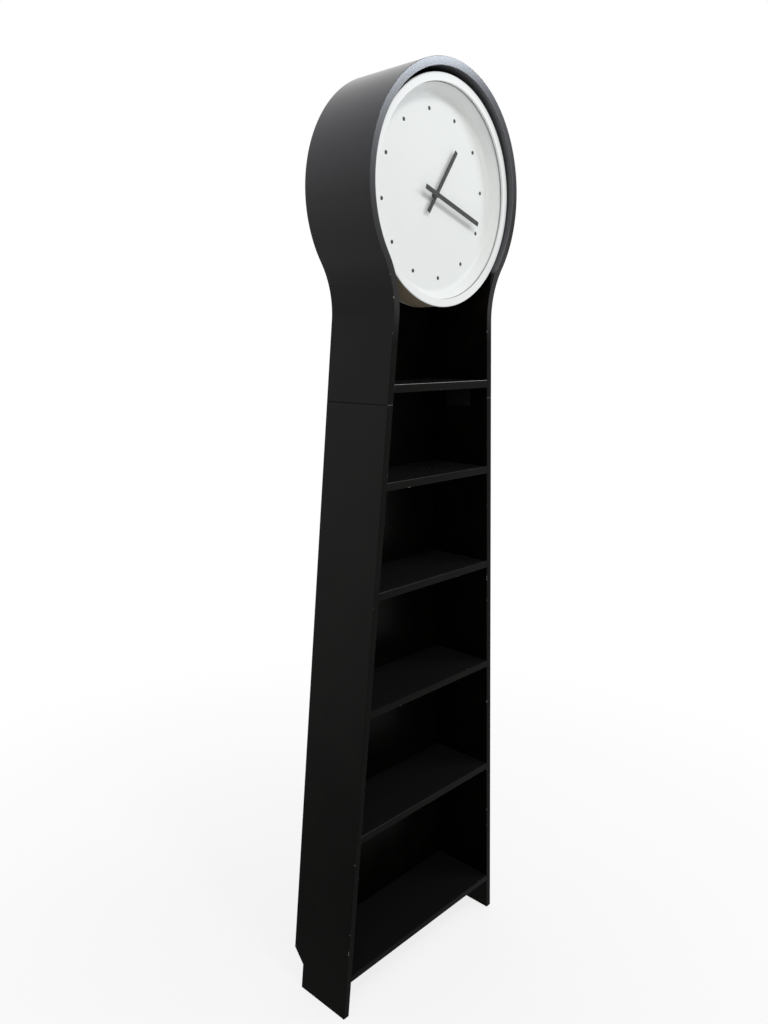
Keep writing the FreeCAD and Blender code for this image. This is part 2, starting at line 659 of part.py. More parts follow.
def back_screws():
    """Screws through the back panels into the shelves' rear edges and the ring's rebate."""
    found = SimpleNamespace(lower=[], lower_bores=[], head=[], head_bores=[], shelf_bores=[[] for _ in SHELVES])
    rear = front + shelf_depth + v.back_thickness
    for index, underside in enumerate(SHELVES):
        z = underside + v.board / 2
        for side in (1, -1):
            x = side * (side_inner(z) - v.back_screw_setback)
            item, tool = sunk_screw(f"shelf_{index + 1}_back_screw_{'right' if side > 0 else 'left'}",
                                    v.back_screw_length, x, rear, z, "-y")
            screws, bores = (found.head, found.head_bores) if index == 0 else (found.lower, found.lower_bores)
            screws.append(item)
            bores.append(tool)
            found.shelf_bores[index].append(tool)
    return found


# Rails behind the clock, dowelled into the ring
def rail_ends(sign):
    low = sign * rail_place - v.rail_height / 2
    high = sign * rail_place + v.rail_height / 2
    reach = ring_inner - v.seat_gap
    return low, high, root(reach * reach - low * low), root(reach * reach - high * high), reach


def make_rail(name, sign, bores):
    owner = body(name)
    low, high, low_x, high_x, reach = rail_ends(sign)
    slab(owner, name + "_board", [
        (-low_x, ring_height + low), (low_x, ring_height + low, reach),
        (high_x, ring_height + high), (-high_x, ring_height + high, reach)],
        v.rail_thickness, front + rail_front)
    return node(cut(name + "_bored", owner, bores), name)


def rail_fittings(sign):
    found = SimpleNamespace(dowels=[], bores=[])
    y = front + rail_front + v.rail_thickness / 2
    z = ring_height + sign * rail_place
    reach = root(ring_inner * ring_inner - rail_place * rail_place)
    for side in (1, -1):
        number = f"{'upper' if sign > 0 else 'lower'}_{'right' if side > 0 else 'left'}"
        tip = reach + v.rail_dowel_sink
        dowel = rod(f"rail_dowel_{number}", v.rail_dowel_radius, v.rail_dowel_length)
        place(dowel, side * tip, y, z, (0, 1, 0), -90 * side)
        bore = rod(f"rail_bore_{number}", v.rail_dowel_radius + v.fit_gap,
                   v.rail_dowel_length + v.drill_gap * 2)
        place(bore, side * (tip + v.drill_gap), y, z, (0, 1, 0), -90 * side)
        found.dowels.append(dowel)
        found.bores.append(bore)
    return found


def make_clock_pads():
    """Felt pads inside the ring that the clock's drum rests on."""
    pads = []
    for angle in PAD_ANGLES:
        outer = rod(f"pad_{angle}_outer", ring_inner - v.fit_gap, v.pad_length)
        outer.Angle = PAD_SWEEP
        start = angle - PAD_SWEEP / 2
        inner = rod(f"pad_{angle}_inner", clock_radius + v.seat_gap, v.pad_length + v.overrun * 2,
                    v.clock_drop * sine(start), -v.overrun, -v.clock_drop * cosine(start))
        pad = cut(f"pad_{angle}", outer, [inner])
        place(pad, 0, front + v.pad_front, ring_height, (0, 1, 0), start)
        pads.append(pad)
    return node(group("clock_pads_group", pads), "clock_pads")


# Steel hanger plate on the head's back, with a keyhole for a wall screw
def wall_hanger():
    rear = front + shelf_depth + v.back_thickness
    z = ring_height + v.hanger_rise
    plate = box("hanger_blank", v.hanger_width, v.hanger_thickness, v.hanger_height,
                -v.hanger_width / 2, rear, z - v.hanger_height / 2)
    deep = v.hanger_thickness + v.overrun * 2
    keyhole = [
        rod("hanger_hole", v.hanger_hole_radius, deep, 0, rear - v.overrun, z - v.hanger_slot / 2),
        rod("hanger_slot_end", v.hanger_slot_radius, deep, 0, rear - v.overrun, z + v.hanger_slot / 2),
        box("hanger_slot", v.hanger_slot_radius * 2, deep, v.hanger_slot, -v.hanger_slot_radius,
            rear - v.overrun, z - v.hanger_slot / 2)]
    screws, bores = [], []
    for side in (1, -1):
        item, tool = sunk_screw(f"hanger_screw_{'right' if side > 0 else 'left'}",
                                v.hanger_screw_length,
                                side * (v.hanger_width / 2 - v.hanger_screw_setback),
                                rear + v.hanger_thickness, z, "-y")
        screws.append(item)
        bores.append(tool)
    window = rod("hanger_window", v.hanger_hole_radius + v.hanger_slot, v.back_thickness + v.overrun * 2,
                 0, front + shelf_depth - v.overrun, z)
    node(cut("hanger_plate", plate, keyhole + bores), "wall_hanger")
    node(group("hanger_screws_group", screws), "hanger_screws")
    return bores + [window]


def make_case():
    fittings = [shelf_fittings(f"shelf_{i + 1}", z) for i, z in enumerate(SHELVES)]
    seam = seam_fittings()
    screws = back_screws()
    rails = {sign: rail_fittings(sign) for sign in (1, -1)}
    hanger_bores = wall_hanger()
    both_seam_bores = seam.screw_bores[1] + seam.screw_bores[-1]
    make_head_shell(fittings[0].side_bores + seam.bores + both_seam_bores + rails[1].bores
                    + rails[-1].bores)
    lower_bores = [bore for item in fittings[1:] for bore in item.side_bores] + seam.bores
    make_side_panel("left_side_panel", -1, lower_bores + seam.screw_bores[-1])
    make_side_panel("right_side_panel", 1, lower_bores + seam.screw_bores[1])
    for i, z in enumerate(SHELVES):
        make_shelf(f"shelf_{i + 1}", z, fittings[i].shelf_bores + screws.shelf_bores[i])
    make_lower_back(screws.lower_bores)
    make_head_back(screws.head_bores + hanger_bores)
    make_rail("upper_clock_rail", 1, rails[1].bores)
    make_rail("lower_clock_rail", -1, rails[-1].bores)
    make_clock_pads()
    node(group("shelf_dowels_group", [d for item in fittings for d in item.dowels]), "shelf_dowels")
    node(group("cam_bolts_group", [b for item in fittings for b in item.bolts]), "cam_bolts")
    node(group("cam_locks_group", [c for item in fittings for c in item.cams]), "cam_locks")
    node(group("seam_dowels_group", seam.dowels), "seam_dowels")
    node(group("seam_plates_group", seam.plates), "seam_plates")
    node(group("seam_screws_group", seam.screws), "seam_screws")
    node(group("lower_back_screws_group", screws.lower), "lower_back_screws")
    node(group("head_back_screws_group", screws.head), "head_back_screws")
    node(group("rail_dowels_group", rails[1].dowels + rails[-1].dowels), "rail_dowels")


# Clock housing: drum, rounded rim, lens seat and cove, revolved about the dial's axis
def make_housing(screw_bores):
    owner = body("clock_housing")
    drawing = outline(sketch_on(owner, "housing_section", "xy"), [
        (rim_inner, v.clock_front), (clock_radius - v.rim_round, v.clock_front, v.rim_round),
        (clock_radius, v.clock_front + v.rim_round), (clock_radius, cover_front),
        (clock_radius - v.drum_wall, cover_front),
        (clock_radius - v.drum_wall, v.clock_front + v.rim_depth),
        (ledge_radius + v.cove_wall, v.clock_front + v.rim_depth),
        (foot_radius + v.cove_wall, foot_front), (flange_radius, foot_front),
        (flange_radius, dial_front), (foot_radius, dial_front),
        (foot_radius, foot_front, v.cove_radius), (ledge_radius, lens_rear), (rim_inner, lens_rear)])
    turned = owner.newObject("PartDesign::Revolution", "housing_turned")
    turned.Profile = drawing
    turned.ReferenceAxis = (drawing, ["V_Axis"])
    turned.Angle = 360
    pieces = [owner]
    bores = []
    for index in range(SCREW_COUNT):
        angle = (index + 0.5) * 360 / SCREW_COUNT
        x, z = step_to(CENTRE, clock_radius - v.boss_setback, angle)
        rear_of_rim = v.clock_front + v.rim_depth
        pieces.append(rod(f"housing_boss_{index}", v.boss_radius, cover_front - rear_of_rim + v.drum_wall,
                          x, rear_of_rim - v.drum_wall, z))
        bores.append(rod(f"housing_boss_bore_{index}", v.boss_hole_radius + v.fit_gap,
                         v.boss_hole_depth + v.overrun, x, cover_front - v.boss_hole_depth, z))
    bores += screw_bores
    return clock_node(cut("housing_bored", fuse("housing_bossed", pieces), bores), "clock_housing")


def cover_screw_set():
    screws, bores = [], []
    for index in range(SCREW_COUNT):
        x, z = step_to(CENTRE, clock_radius - v.boss_setback, (index + 0.5) * 360 / SCREW_COUNT)
        item, tool = pan_screw(f"cover_screw_{index}", v.cover_screw_radius, v.cover_screw_head_radius,
                               v.cover_screw_length, x, clock_rear, z, "-y")
        screws.append(item)
        bores.append(tool)
    return screws, bores


def dial_screw_set():
    """Small screws through the dial's hidden edge into the cove's flange."""
    screws, bores = [], []
    for index in range(SCREW_COUNT):
        x, z = step_to(CENTRE, dial_radius - v.dial_screw_inset, index * 360 / SCREW_COUNT)
        item, tool = pan_screw(f"dial_screw_{index}", v.dial_screw_radius, v.dial_screw_head_radius,
                               v.dial_screw_length, x, dial_rear, z, "-y")
        screws.append(item)
        bores.append(tool)
    return screws, bores


def make_lens():
    lens = rod("lens_disc", rim_inner - v.lens_gap, v.lens_thickness, 0, lens_front)
    return clock_node(group("lens_group", [lens]), "clock_lens")


def marker_places():
    return [step_to(CENTRE, marker_circle, hour * 360 / HOURS) for hour in range(HOURS)]


def make_dial(screw_bores):
    plate = rod("dial_plate", dial_radius, v.dial_thickness, 0, dial_front)
    bores = [rod("dial_bore", bush_radius + v.seat_gap / 2, v.dial_thickness + v.overrun * 2, 0,
                 dial_front - v.overrun)]
    sink = v.marker_thickness - v.marker_proud
    for index, (x, z) in enumerate(marker_places()):
        bores.append(rod(f"marker_seat_{index}", v.marker_radius + v.fit_gap, sink + v.overrun, x,
                         dial_front - v.overrun, z))
    return clock_node(cut("dial_bored", plate, bores + screw_bores), "dial")


def make_markers():
    discs = [rod(f"marker_{index}", v.marker_radius, v.marker_thickness, x, dial_front - v.marker_proud, z)
             for index, (x, z) in enumerate(marker_places())]
    return clock_node(group("markers_group", discs), "hour_markers")


def make_back_cover():
    screws, bores = cover_screw_set()
    disc = rod("cover_disc", clock_radius, v.cover_thickness, 0, cover_front)
    window = box("cover_window", v.cover_opening, v.cover_thickness + v.overrun * 2, v.cover_opening,
                 -v.cover_opening / 2, cover_front - v.overrun, -v.cover_opening / 2)
    clock_node(cut("cover_cut", disc, bores + [window]), "clock_back_cover")
    clock_node(group("cover_screws_group", screws), "cover_screws")


# Clockwork wheels, from toothed outlines
def gear(teeth, module, depth, thickness, turn=0, tip_share=TIP_SHARE):
    """A toothed disc about the local axis, with a tooth at turn degrees clockwise from the top."""
    pitch_radius = float(module) * teeth / 2
    tip, bottom = pitch_radius + float(module) * tip_share, pitch_radius - float(module) * DEDENDUM_SHARE
    pitch = 360 / teeth
    points = []
    for index in range(teeth):
        middle = turn + index * pitch
        for radius, share in ((bottom, -TOOTH_ROOT_SHARE), (tip, -TOOTH_TIP_SHARE),
                              (tip, TOOTH_TIP_SHARE), (bottom, TOOTH_ROOT_SHARE)):
            angle = middle + share * pitch
            points.append(FreeCAD.Vector(radius * sine(angle), float(depth), radius * cosine(angle)))
    face = Part.Face(Part.makePolygon(points + points[:1]))
    return face.extrude(FreeCAD.Vector(0, float(thickness), 0))


def turned_rod(radius, start, end):
    return Part.makeCylinder(float(radius), float(end) - float(start), FreeCAD.Vector(0, float(start), 0),
                             FreeCAD.Vector(0, 1, 0))


def wheel(teeth, module, layer, turn=0):
    return gear(teeth, module, layer, v.wheel_thickness, turn)


def pinion(teeth, module, layer, turn=0):
    return gear(teeth, module, layer - v.pinion_overlap, v.wheel_thickness + v.pinion_overlap * 2, turn,
                LEAF_TIP_SHARE)


def arbor(front_wall, rear_wall, radius=None):
    """A shaft with a pivot at each end, running in blind holes behind the two faces named."""
    start, end = front_wall + v.pivot_gap, rear_wall - v.pivot_gap
    return [turned_rod(v.arbor_radius if radius is None else radius, start, end),
            turned_rod(v.pivot_radius, start - v.pivot_length, end + v.pivot_length)]


def meshed_turn(teeth, turn, direction, other_teeth):
    """The turn that brings the other wheel's gap onto this wheel's tooth along a direction."""
    return direction + 180 - (teeth / other_teeth) * (turn - direction) - 180 / other_teeth


def solid_node(name, pieces, at=CENTRE, bores=()):
    """A piece of the clockwork joined from solids drawn about its own axis."""
    shape = pieces[0].fuse(pieces[1:]) if len(pieces) > 1 else pieces[0]
    if bores:
        shape = shape.cut(list(bores))
    item = doc.addObject("Part::Feature", name)
    item.Shape = shape.removeSplitter()
    ring = FreeCAD.Placement(FreeCAD.Vector(0, float(front), float(clock_height)),
                             FreeCAD.Rotation(FreeCAD.Vector(0, 1, 0), -CLOCK_TURN))
    offset = FreeCAD.Vector(float(at[0]), 0, float(at[1]))
    item.Placement = ring.multiply(FreeCAD.Placement(offset, FreeCAD.Rotation()))
    return node(item, name)


def make_going_train():
    fifth_turn = meshed_turn(LEAF_COUNT, 0, ROTOR_DIRECTION + 180, FIFTH_TEETH)
    magnet_front = LAYER_MOTION + v.stator_thickness - v.magnet_length / 2
    solid_node("rotor", arbor(inner_front, inner_rear, v.pivot_radius + v.running_gap)
               + [turned_rod(v.magnet_radius, magnet_front, magnet_front + v.magnet_length),
                  pinion(LEAF_COUNT, rotor_module, LAYER_THIRD)], ROTOR)
    solid_node("fifth_wheel", arbor(bridge_rear, inner_rear)
               + [wheel(FIFTH_TEETH, rotor_module, LAYER_THIRD, fifth_turn),
                  pinion(LEAF_COUNT, v.gear_module, LAYER_SECOND)], FIFTH)
    second_turn = meshed_turn(LEAF_COUNT, 0, FIFTH_DIRECTION + 180, SECOND_TEETH)
    solid_node("second_wheel", arbor(bridge_rear, inner_rear)
               + [wheel(SECOND_TEETH, v.gear_module, LAYER_SECOND, second_turn),
                  pinion(LEAF_COUNT, third_module, LAYER_THIRD)], CENTRE)
    third_turn = meshed_turn(LEAF_COUNT, 0, THIRD_DIRECTION, THIRD_TEETH)
    solid_node("third_wheel", arbor(inner_front, inner_rear)
               + [wheel(THIRD_TEETH, third_module, LAYER_THIRD, third_turn),
                  pinion(LEAF_COUNT, v.gear_module, LAYER_CENTRE)], THIRD)
    centre_turn = meshed_turn(LEAF_COUNT, 0, THIRD_DIRECTION + 180, CENTRE_TEETH)
    hub_front = LAYER_MOTION + v.wheel_thickness + v.pinion_overlap + v.pivot_gap
    solid_node("centre_wheel", [wheel(CENTRE_TEETH, v.gear_module, LAYER_CENTRE, centre_turn),
                                turned_rod(v.hub_radius, hub_front, LAYER_CENTRE)], CENTRE,
               [turned_rod(pipe_bore, hub_front - v.overrun, LAYER_CENTRE + v.overrun)])


def make_motion_work():
    arbor_front = minute_hand_front - v.hand_thickness / 2
    solid_node("minute_arbor", [turned_rod(v.minute_arbor_radius, arbor_front, bridge_front - v.pivot_gap),
                                pinion(CANNON_TEETH, motion_module, LAYER_MOTION)])
    motion_turn = meshed_turn(CANNON_TEETH, 0, MOTION_DIRECTION, MOTION_TEETH)
    post_bore = v.arbor_radius + v.running_gap
    motion_rear = LAYER_MOTION + v.wheel_thickness
    solid_node("motion_wheel", [wheel(MOTION_TEETH, motion_module, LAYER_MOTION, motion_turn),
                                gear(MOTION_LEAVES, hour_module, LAYER_HOUR - v.pinion_overlap,
                                     LAYER_MOTION - LAYER_HOUR + v.pinion_overlap, 0, LEAF_TIP_SHARE)],
               MOTION, [turned_rod(post_bore, inner_front, motion_rear + v.overrun)])
    hour_turn = meshed_turn(MOTION_LEAVES, 0, MOTION_DIRECTION + 180, HOUR_TEETH)
    solid_node("hour_wheel", [wheel(HOUR_TEETH, hour_module, LAYER_HOUR, hour_turn),
                              turned_rod(pipe_radius, hour_hand_front - v.hand_thickness / 2, LAYER_HOUR)],
               CENTRE, [turned_rod(pipe_bore, hour_hand_front - v.overrun, LAYER_MOTION)])
    knob_turn = meshed_turn(MOTION_TEETH, motion_turn, KNOB_DIRECTION, KNOB_TEETH)
    knob_front = movement_rear + v.seat_gap
    ribs = gear(KNOB_TEETH * 2, v.knob_radius / KNOB_TEETH, knob_front, v.knob_thickness, 0,
                float(v.knob_rib / (v.knob_radius / KNOB_TEETH)))
    solid_node("setting_knob", [ribs, gear(KNOB_TEETH, motion_module, LAYER_MOTION, v.wheel_thickness,
                                           knob_turn, LEAF_TIP_SHARE),
                                turned_rod(v.knob_arbor_radius, inner_front + v.pivot_gap, knob_front),
                                turned_rod(v.pivot_radius, inner_front + v.pivot_gap - v.pivot_length,
                                           knob_front)], KNOB)


# Clockwork case: tray with the threaded bush, pivot holes, battery bay and pillars
def make_movement_case():
    owner = body("movement_case")
    half = half_movement
    inner = half - v.movement_wall
    slab(owner, "tray_block", [(-half, -half), (half, -half), (half, half), (-half, half)],
         v.movement_depth - v.movement_wall, movement_front)
    chamber = outline(sketch_on(owner, "tray_chamber_outline", "xz", -inner_rear), [
        (-inner, -bay_top + v.movement_wall), (inner, -bay_top + v.movement_wall), (inner, inner),
        (-inner, inner)])
    feature(owner, "Pocket", "tray_chamber", chamber, inner_rear - inner_front, reverse=True)
    bay = outline(sketch_on(owner, "tray_bay_outline", "xz", -inner_rear), [
        (-bay_half_length, -inner), (bay_half_length, -inner), (bay_half_length, -bay_top),
        (-bay_half_length, -bay_top)])
    feature(owner, "Pocket", "tray_bay", bay, inner_rear - inner_front, reverse=True)
    pieces = [owner, rod("tray_bush", bush_radius, v.bush_length + v.movement_wall / 2, 0,
                         movement_front - v.bush_length)]
    pieces.append(rod("motion_post", v.arbor_radius, LAYER_MOTION + v.wheel_thickness + v.pivot_gap
                      - inner_front + v.movement_wall / 2, MOTION[0], inner_front - v.movement_wall / 2,
                      MOTION[1]))
    for index, (x, z) in enumerate(pillar_places()):
        pieces.append(rod(f"tray_pillar_{index}", v.pillar_radius, bridge_front - inner_front
                          + v.movement_wall / 2, x, inner_front - v.movement_wall / 2, z))
    bores = [rod("bush_bore", bush_bore, v.bush_length + v.movement_depth, 0,
                 movement_front - v.bush_length - v.overrun)]
    for name, at in (("rotor", ROTOR), ("third", THIRD), ("knob", KNOB)):
        bores.append(rod(f"tray_{name}_bore", v.pivot_radius + v.running_gap,
                         v.pivot_length + v.overrun, at[0], inner_front - v.pivot_length, at[1]))
    return clock_node(cut("tray_bored", fuse("tray_whole", pieces), bores), "movement_case")


def pillar_places():
    reach = half_movement - v.movement_wall - v.pillar_setback
    low = -bay_top + v.movement_wall + v.pillar_setback
    return [(-reach, low), (reach, low), (-reach, v.bridge_top - v.pillar_setback),
            (reach, v.bridge_top - v.pillar_setback)]


def make_train_bridge():
    reach = half_movement - v.movement_wall - v.seat_gap
    low = -bay_top + v.movement_wall + v.seat_gap
    plate = box("bridge_plate", reach * 2, v.bridge_thickness, v.bridge_top - low, -reach, bridge_front, low)
    bores = []
    deep = v.bridge_thickness + v.overrun * 2
    pinion_room = v.gear_module * (LEAF_COUNT / 2 + 1) + v.stator_gap
    for name, at, radius in (("rotor", ROTOR, pinion_room), ("third", THIRD, pinion_room),
                             ("knob", KNOB, v.knob_arbor_radius + v.stator_gap)):
        bores.append(rod(f"bridge_{name}_hole", radius, deep, at[0], bridge_front - v.overrun, at[1]))
    for name, at in (("fifth", FIFTH), ("second", CENTRE)):
        bores.append(rod(f"bridge_{name}_bore", v.pivot_radius + v.running_gap, v.pivot_length + v.overrun,
                         at[0], bridge_rear - v.pivot_length, at[1]))
    return clock_node(cut("bridge_bored", plate, bores), "train_bridge")


def make_movement_cover():
    plate = box("movement_cover_plate", v.movement_size, v.movement_wall, v.movement_size, -half_movement,
                inner_rear, -half_movement)
    bores = [box("movement_cover_bay", bay_half_length * 2, v.movement_wall + v.overrun * 2,
                 half_movement + v.overrun - bay_top, -bay_half_length, inner_rear - v.overrun,
                 -half_movement - v.overrun)]
    for name, at in (("rotor", ROTOR), ("third", THIRD), ("fifth", FIFTH), ("second", CENTRE)):
        bores.append(rod(f"cover_{name}_bore", v.pivot_radius + v.running_gap, v.pivot_length + v.overrun,
                         at[0], inner_rear - v.overrun, at[1]))
    bores.append(rod("cover_knob_bore", v.knob_arbor_radius + v.running_gap,
                     v.movement_wall + v.overrun * 2, KNOB[0], inner_rear - v.overrun, KNOB[1]))
    return clock_node(cut("movement_cover_bored", plate, bores), "movement_cover")


def make_fixings():
    """Rubber gasket behind the dial, brass washer and nut in front of it."""
    hole = bush_radius + v.fit_gap
    gasket = cut("gasket", rod("gasket_disc", v.gasket_radius, v.gasket_thickness, 0, dial_rear),
                 [rod("gasket_hole", hole, v.gasket_thickness + v.overrun * 2, 0, dial_rear - v.overrun)])
    clock_node(gasket, "movement_gasket")
    washer_front = dial_front - v.washer_thickness
    washer = cut("washer", rod("washer_disc", v.washer_radius, v.washer_thickness, 0, washer_front),
                 [rod("washer_hole", hole, v.washer_thickness + v.overrun * 2, 0,
                      washer_front - v.overrun)])
    clock_node(washer, "fixing_washer")
    nut_front = washer_front - v.nut_thickness
    blank = doc.addObject("Part::Prism", "nut_blank")
    blank.Polygon = 6
    bind(blank, Circumradius=v.nut_across_flats / math.sqrt(3), Height=v.nut_thickness)
    place(blank, 0, nut_front, 0, (1, 0, 0), -90)
    nut = cut("nut", blank, [rod("nut_hole", hole, v.nut_thickness + v.overrun * 2, 0,
                                 nut_front - v.overrun)])
    clock_node(nut, "fixing_nut")


# Stepping motor: stator plate with its core, coil and circuit board
def make_motor():
    plate_front = LAYER_MOTION + v.stator_thickness / 2
    top = ROTOR[1] + v.coil_place
    left = ROTOR[0] - v.coil_length / 2 - v.coil_gap - v.stator_leg
    right = ROTOR[0] + v.coil_length / 2 + v.coil_gap
    cross_low = ROTOR[1] - v.stator_leg / 2
    pieces = [
        rod("stator_eye", v.magnet_radius + v.stator_gap + v.stator_rim, v.stator_thickness, ROTOR[0],
            plate_front, ROTOR[1]),
        box("stator_cross", right + v.stator_leg - left, v.stator_thickness, v.stator_width, left,
            plate_front, cross_low)]
    for name, x in (("left", left), ("right", right)):
        pieces.append(box(f"stator_{name}_leg", v.stator_leg, v.stator_thickness,
                          top + v.core_height / 2 - cross_low, x, plate_front, cross_low))
    pieces.append(box("stator_core", right - left + v.stator_leg, v.stator_thickness, v.core_height, left,
                      plate_front, top - v.core_height / 2))
    hole = rod("stator_hole", v.magnet_radius + v.stator_gap, v.stator_thickness + v.overrun * 2, ROTOR[0],
               plate_front - v.overrun, ROTOR[1])
    clock_node(cut("stator_bored", fuse("stator_whole", pieces), [hole]), "stator")
    middle = plate_front + v.stator_thickness / 2
    winding = rod("coil_winding", middle - inner_front - v.seat_gap, v.coil_length,
                  ROTOR[0] - v.coil_length / 2, middle, top, along="x")
    slot = box("coil_slot", v.coil_length + v.overrun * 2, v.stator_thickness + v.fit_gap * 2,
               v.core_height + v.fit_gap * 2, ROTOR[0] - v.coil_length / 2 - v.overrun,
               plate_front - v.fit_gap, top - v.core_height / 2 - v.fit_gap)
    clock_node(cut("coil_bored", winding, [slot]), "coil")


def make_circuit():
    left = -half_movement + v.movement_wall + v.seat_gap
    top = half_movement - v.movement_wall - v.seat_gap
    y = inner_front + v.seat_gap
    board = box("circuit_plate", v.circuit_width, v.circuit_thickness, v.circuit_height, left, y,
                top - v.circuit_height)
    chip = rod("circuit_chip", v.chip_radius, v.chip_height + v.circuit_thickness / 2,
               left + v.circuit_width / 4, y + v.circuit_thickness / 2, top - v.circuit_height / 2)
    clock_node(fuse("circuit_whole", [board, chip]), "circuit_board")
    crystal = rod("crystal_can", v.crystal_radius, v.crystal_length, left + v.circuit_width / 2,
                  y + v.circuit_thickness + v.crystal_radius + v.fit_gap, top - v.circuit_height / 2,
                  along="x")
    clock_node(group("crystal_group", [crystal]), "quartz_crystal")


def make_battery():
    y = inner_front + v.battery_gap + v.battery_radius
    whole = v.battery_length + v.nub_length
    can = rod("battery_can", v.battery_radius, v.battery_length, -whole / 2, y, -battery_place, along="x")
    nub = rod("battery_nub", v.nub_radius, v.nub_length, v.battery_length - whole / 2, y, -battery_place,
              along="x")
    clock_node(fuse("battery_whole", [can, nub]), "battery")
    strips = []
    for name, side in (("plus", 1), ("minus", -1)):
        x = bay_half_length - v.contact_thickness if side > 0 else -bay_half_length
        strips.append(box(f"contact_{name}", v.contact_thickness, inner_rear - inner_front - v.seat_gap,
                          v.contact_width, x, inner_front, -battery_place - v.contact_width / 2))
    clock_node(group("contacts_group", strips), "battery_contacts")


# Hands: straight bars with a tail and a round boss
hour_hand_front = v.clock_front + v.hour_hand_sink
minute_hand_front = v.clock_front + v.minute_hand_sink


def make_hand(name, length, tail, width, depth, seat, turn):
    bar = box(name + "_bar", width, v.hand_thickness, length + tail, -width / 2, depth, -tail)
    boss = rod(name + "_boss", v.hand_boss_radius, v.hand_thickness, 0, depth)
    hole = rod(name + "_hole", seat + v.fit_gap / 2, v.hand_thickness + v.overrun * 2, 0,
               depth - v.overrun)
    return clock_node(cut(name + "_bored", fuse(name + "_whole", [bar, boss]), [hole]), name, turn)


def make_clock():
    dial_screws, screw_bores = dial_screw_set()
    make_housing(screw_bores)
    make_lens()
    make_dial(screw_bores)
    clock_node(group("dial_screws_group", dial_screws), "dial_screws")
    make_markers()
    make_back_cover()
    make_movement_case()
    make_movement_cover()
    make_fixings()
    make_train_bridge()
    make_motor()
    make_circuit()
    make_battery()
    make_going_train()
    make_motion_work()
    minutes = SHOWN_MINUTES % 60
    make_hand("hour_hand", marker_circle * HOUR_REACH_SHARE, marker_circle * HOUR_TAIL_SHARE,
              v.hour_hand_width, hour_hand_front, pipe_radius, SHOWN_MINUTES / 2)
    make_hand("minute_hand", marker_circle * MINUTE_REACH_SHARE, marker_circle * MINUTE_TAIL_SHARE,
              v.minute_hand_width, minute_hand_front, v.minute_arbor_radius, minutes * 6)


def check_and_export():
    os.makedirs("parts", exist_ok=True)
    doc.recompute()
    broken = [item.Name for item in doc.Objects if "Invalid" in item.State or "Error" in item.State]
    if broken:
        raise RuntimeError("objects failed: " + ", ".join(broken))
    for item in nodes:
        if item.Shape.isNull() or not item.Shape.isValid():
            raise RuntimeError("bad shape: " + item.Label)
    for item in nodes:
        item.Shape.exportStep(f"parts/{item.Label}.step")
        print(item.Label, len(item.Shape.Solids), round(item.Shape.Volume, 1))
    print(len(nodes), "nodes, height", round(float(total_height), 2))


make_case()
make_clock()
check_and_export()
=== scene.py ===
import json
import math
from functools import cache

import bmesh
import bpy
from bpy.props import FloatProperty, FloatVectorProperty, IntProperty, PointerProperty
from mathutils import Matrix, Vector


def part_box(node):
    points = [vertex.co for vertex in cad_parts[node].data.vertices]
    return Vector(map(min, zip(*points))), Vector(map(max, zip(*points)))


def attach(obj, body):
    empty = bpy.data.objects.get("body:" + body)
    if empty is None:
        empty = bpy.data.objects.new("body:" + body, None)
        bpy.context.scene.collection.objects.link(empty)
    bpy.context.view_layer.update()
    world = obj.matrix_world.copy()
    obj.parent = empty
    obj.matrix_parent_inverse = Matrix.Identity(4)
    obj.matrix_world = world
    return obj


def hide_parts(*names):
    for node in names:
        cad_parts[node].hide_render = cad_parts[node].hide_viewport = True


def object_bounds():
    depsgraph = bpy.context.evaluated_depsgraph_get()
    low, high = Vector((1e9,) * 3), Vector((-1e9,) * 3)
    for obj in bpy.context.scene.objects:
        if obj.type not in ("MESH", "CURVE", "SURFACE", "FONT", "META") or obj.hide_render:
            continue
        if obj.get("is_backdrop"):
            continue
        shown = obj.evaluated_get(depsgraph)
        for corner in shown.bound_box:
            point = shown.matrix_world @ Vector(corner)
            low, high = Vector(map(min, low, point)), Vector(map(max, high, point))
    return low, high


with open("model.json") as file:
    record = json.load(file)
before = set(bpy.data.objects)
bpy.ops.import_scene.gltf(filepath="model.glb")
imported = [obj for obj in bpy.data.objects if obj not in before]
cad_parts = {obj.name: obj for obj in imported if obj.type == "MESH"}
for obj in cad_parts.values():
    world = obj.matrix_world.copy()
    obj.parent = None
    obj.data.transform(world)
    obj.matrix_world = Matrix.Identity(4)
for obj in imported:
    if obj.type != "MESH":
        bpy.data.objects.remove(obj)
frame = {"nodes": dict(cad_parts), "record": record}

bl_info = {
    "name": "Shelved Floor Clock",
    "version": (1, 0, 0),
    "blender": (4, 5, 0),
    "location": "3D View > Sidebar > Floor Clock",
    "description": "Dresses the packed floor clock: painted case, shelves, wall clock and clockwork",
    "category": "Object",
}

NODES = frame["nodes"]
CAD_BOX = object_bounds()
MM = 0.001
SLOT_COLOURS = {row["slot"]: tuple(row["base_color"]) for row in frame["record"]["materials"]}

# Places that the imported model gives
HEAD_LOW, HEAD_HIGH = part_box("head_shell")
SIDE_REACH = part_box("right_side_panel")[1].x
BACK_LOW, BACK_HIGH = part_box("lower_back_panel")
HEAD_BACK_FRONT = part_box("head_back_panel")[0].y
HOUSING_LOW, HOUSING_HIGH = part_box("clock_housing")
COVER_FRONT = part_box("clock_back_cover")[0].y
LENS_LOW, LENS_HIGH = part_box("clock_lens")
DIAL_LOW, DIAL_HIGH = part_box("dial")
CASE_FRONT, CASE_REAR = HEAD_LOW.y, HEAD_HIGH.y
SEAM_HEIGHT = HEAD_LOW.z
RING_RADIUS = (HEAD_HIGH.x - HEAD_LOW.x) / 2
RING_HEIGHT = HEAD_HIGH.z - RING_RADIUS
CLOCK_HEIGHT = (HOUSING_LOW.z + HOUSING_HIGH.z) / 2
CLOCK_RADIUS = (HOUSING_HIGH.x - HOUSING_LOW.x) / 2
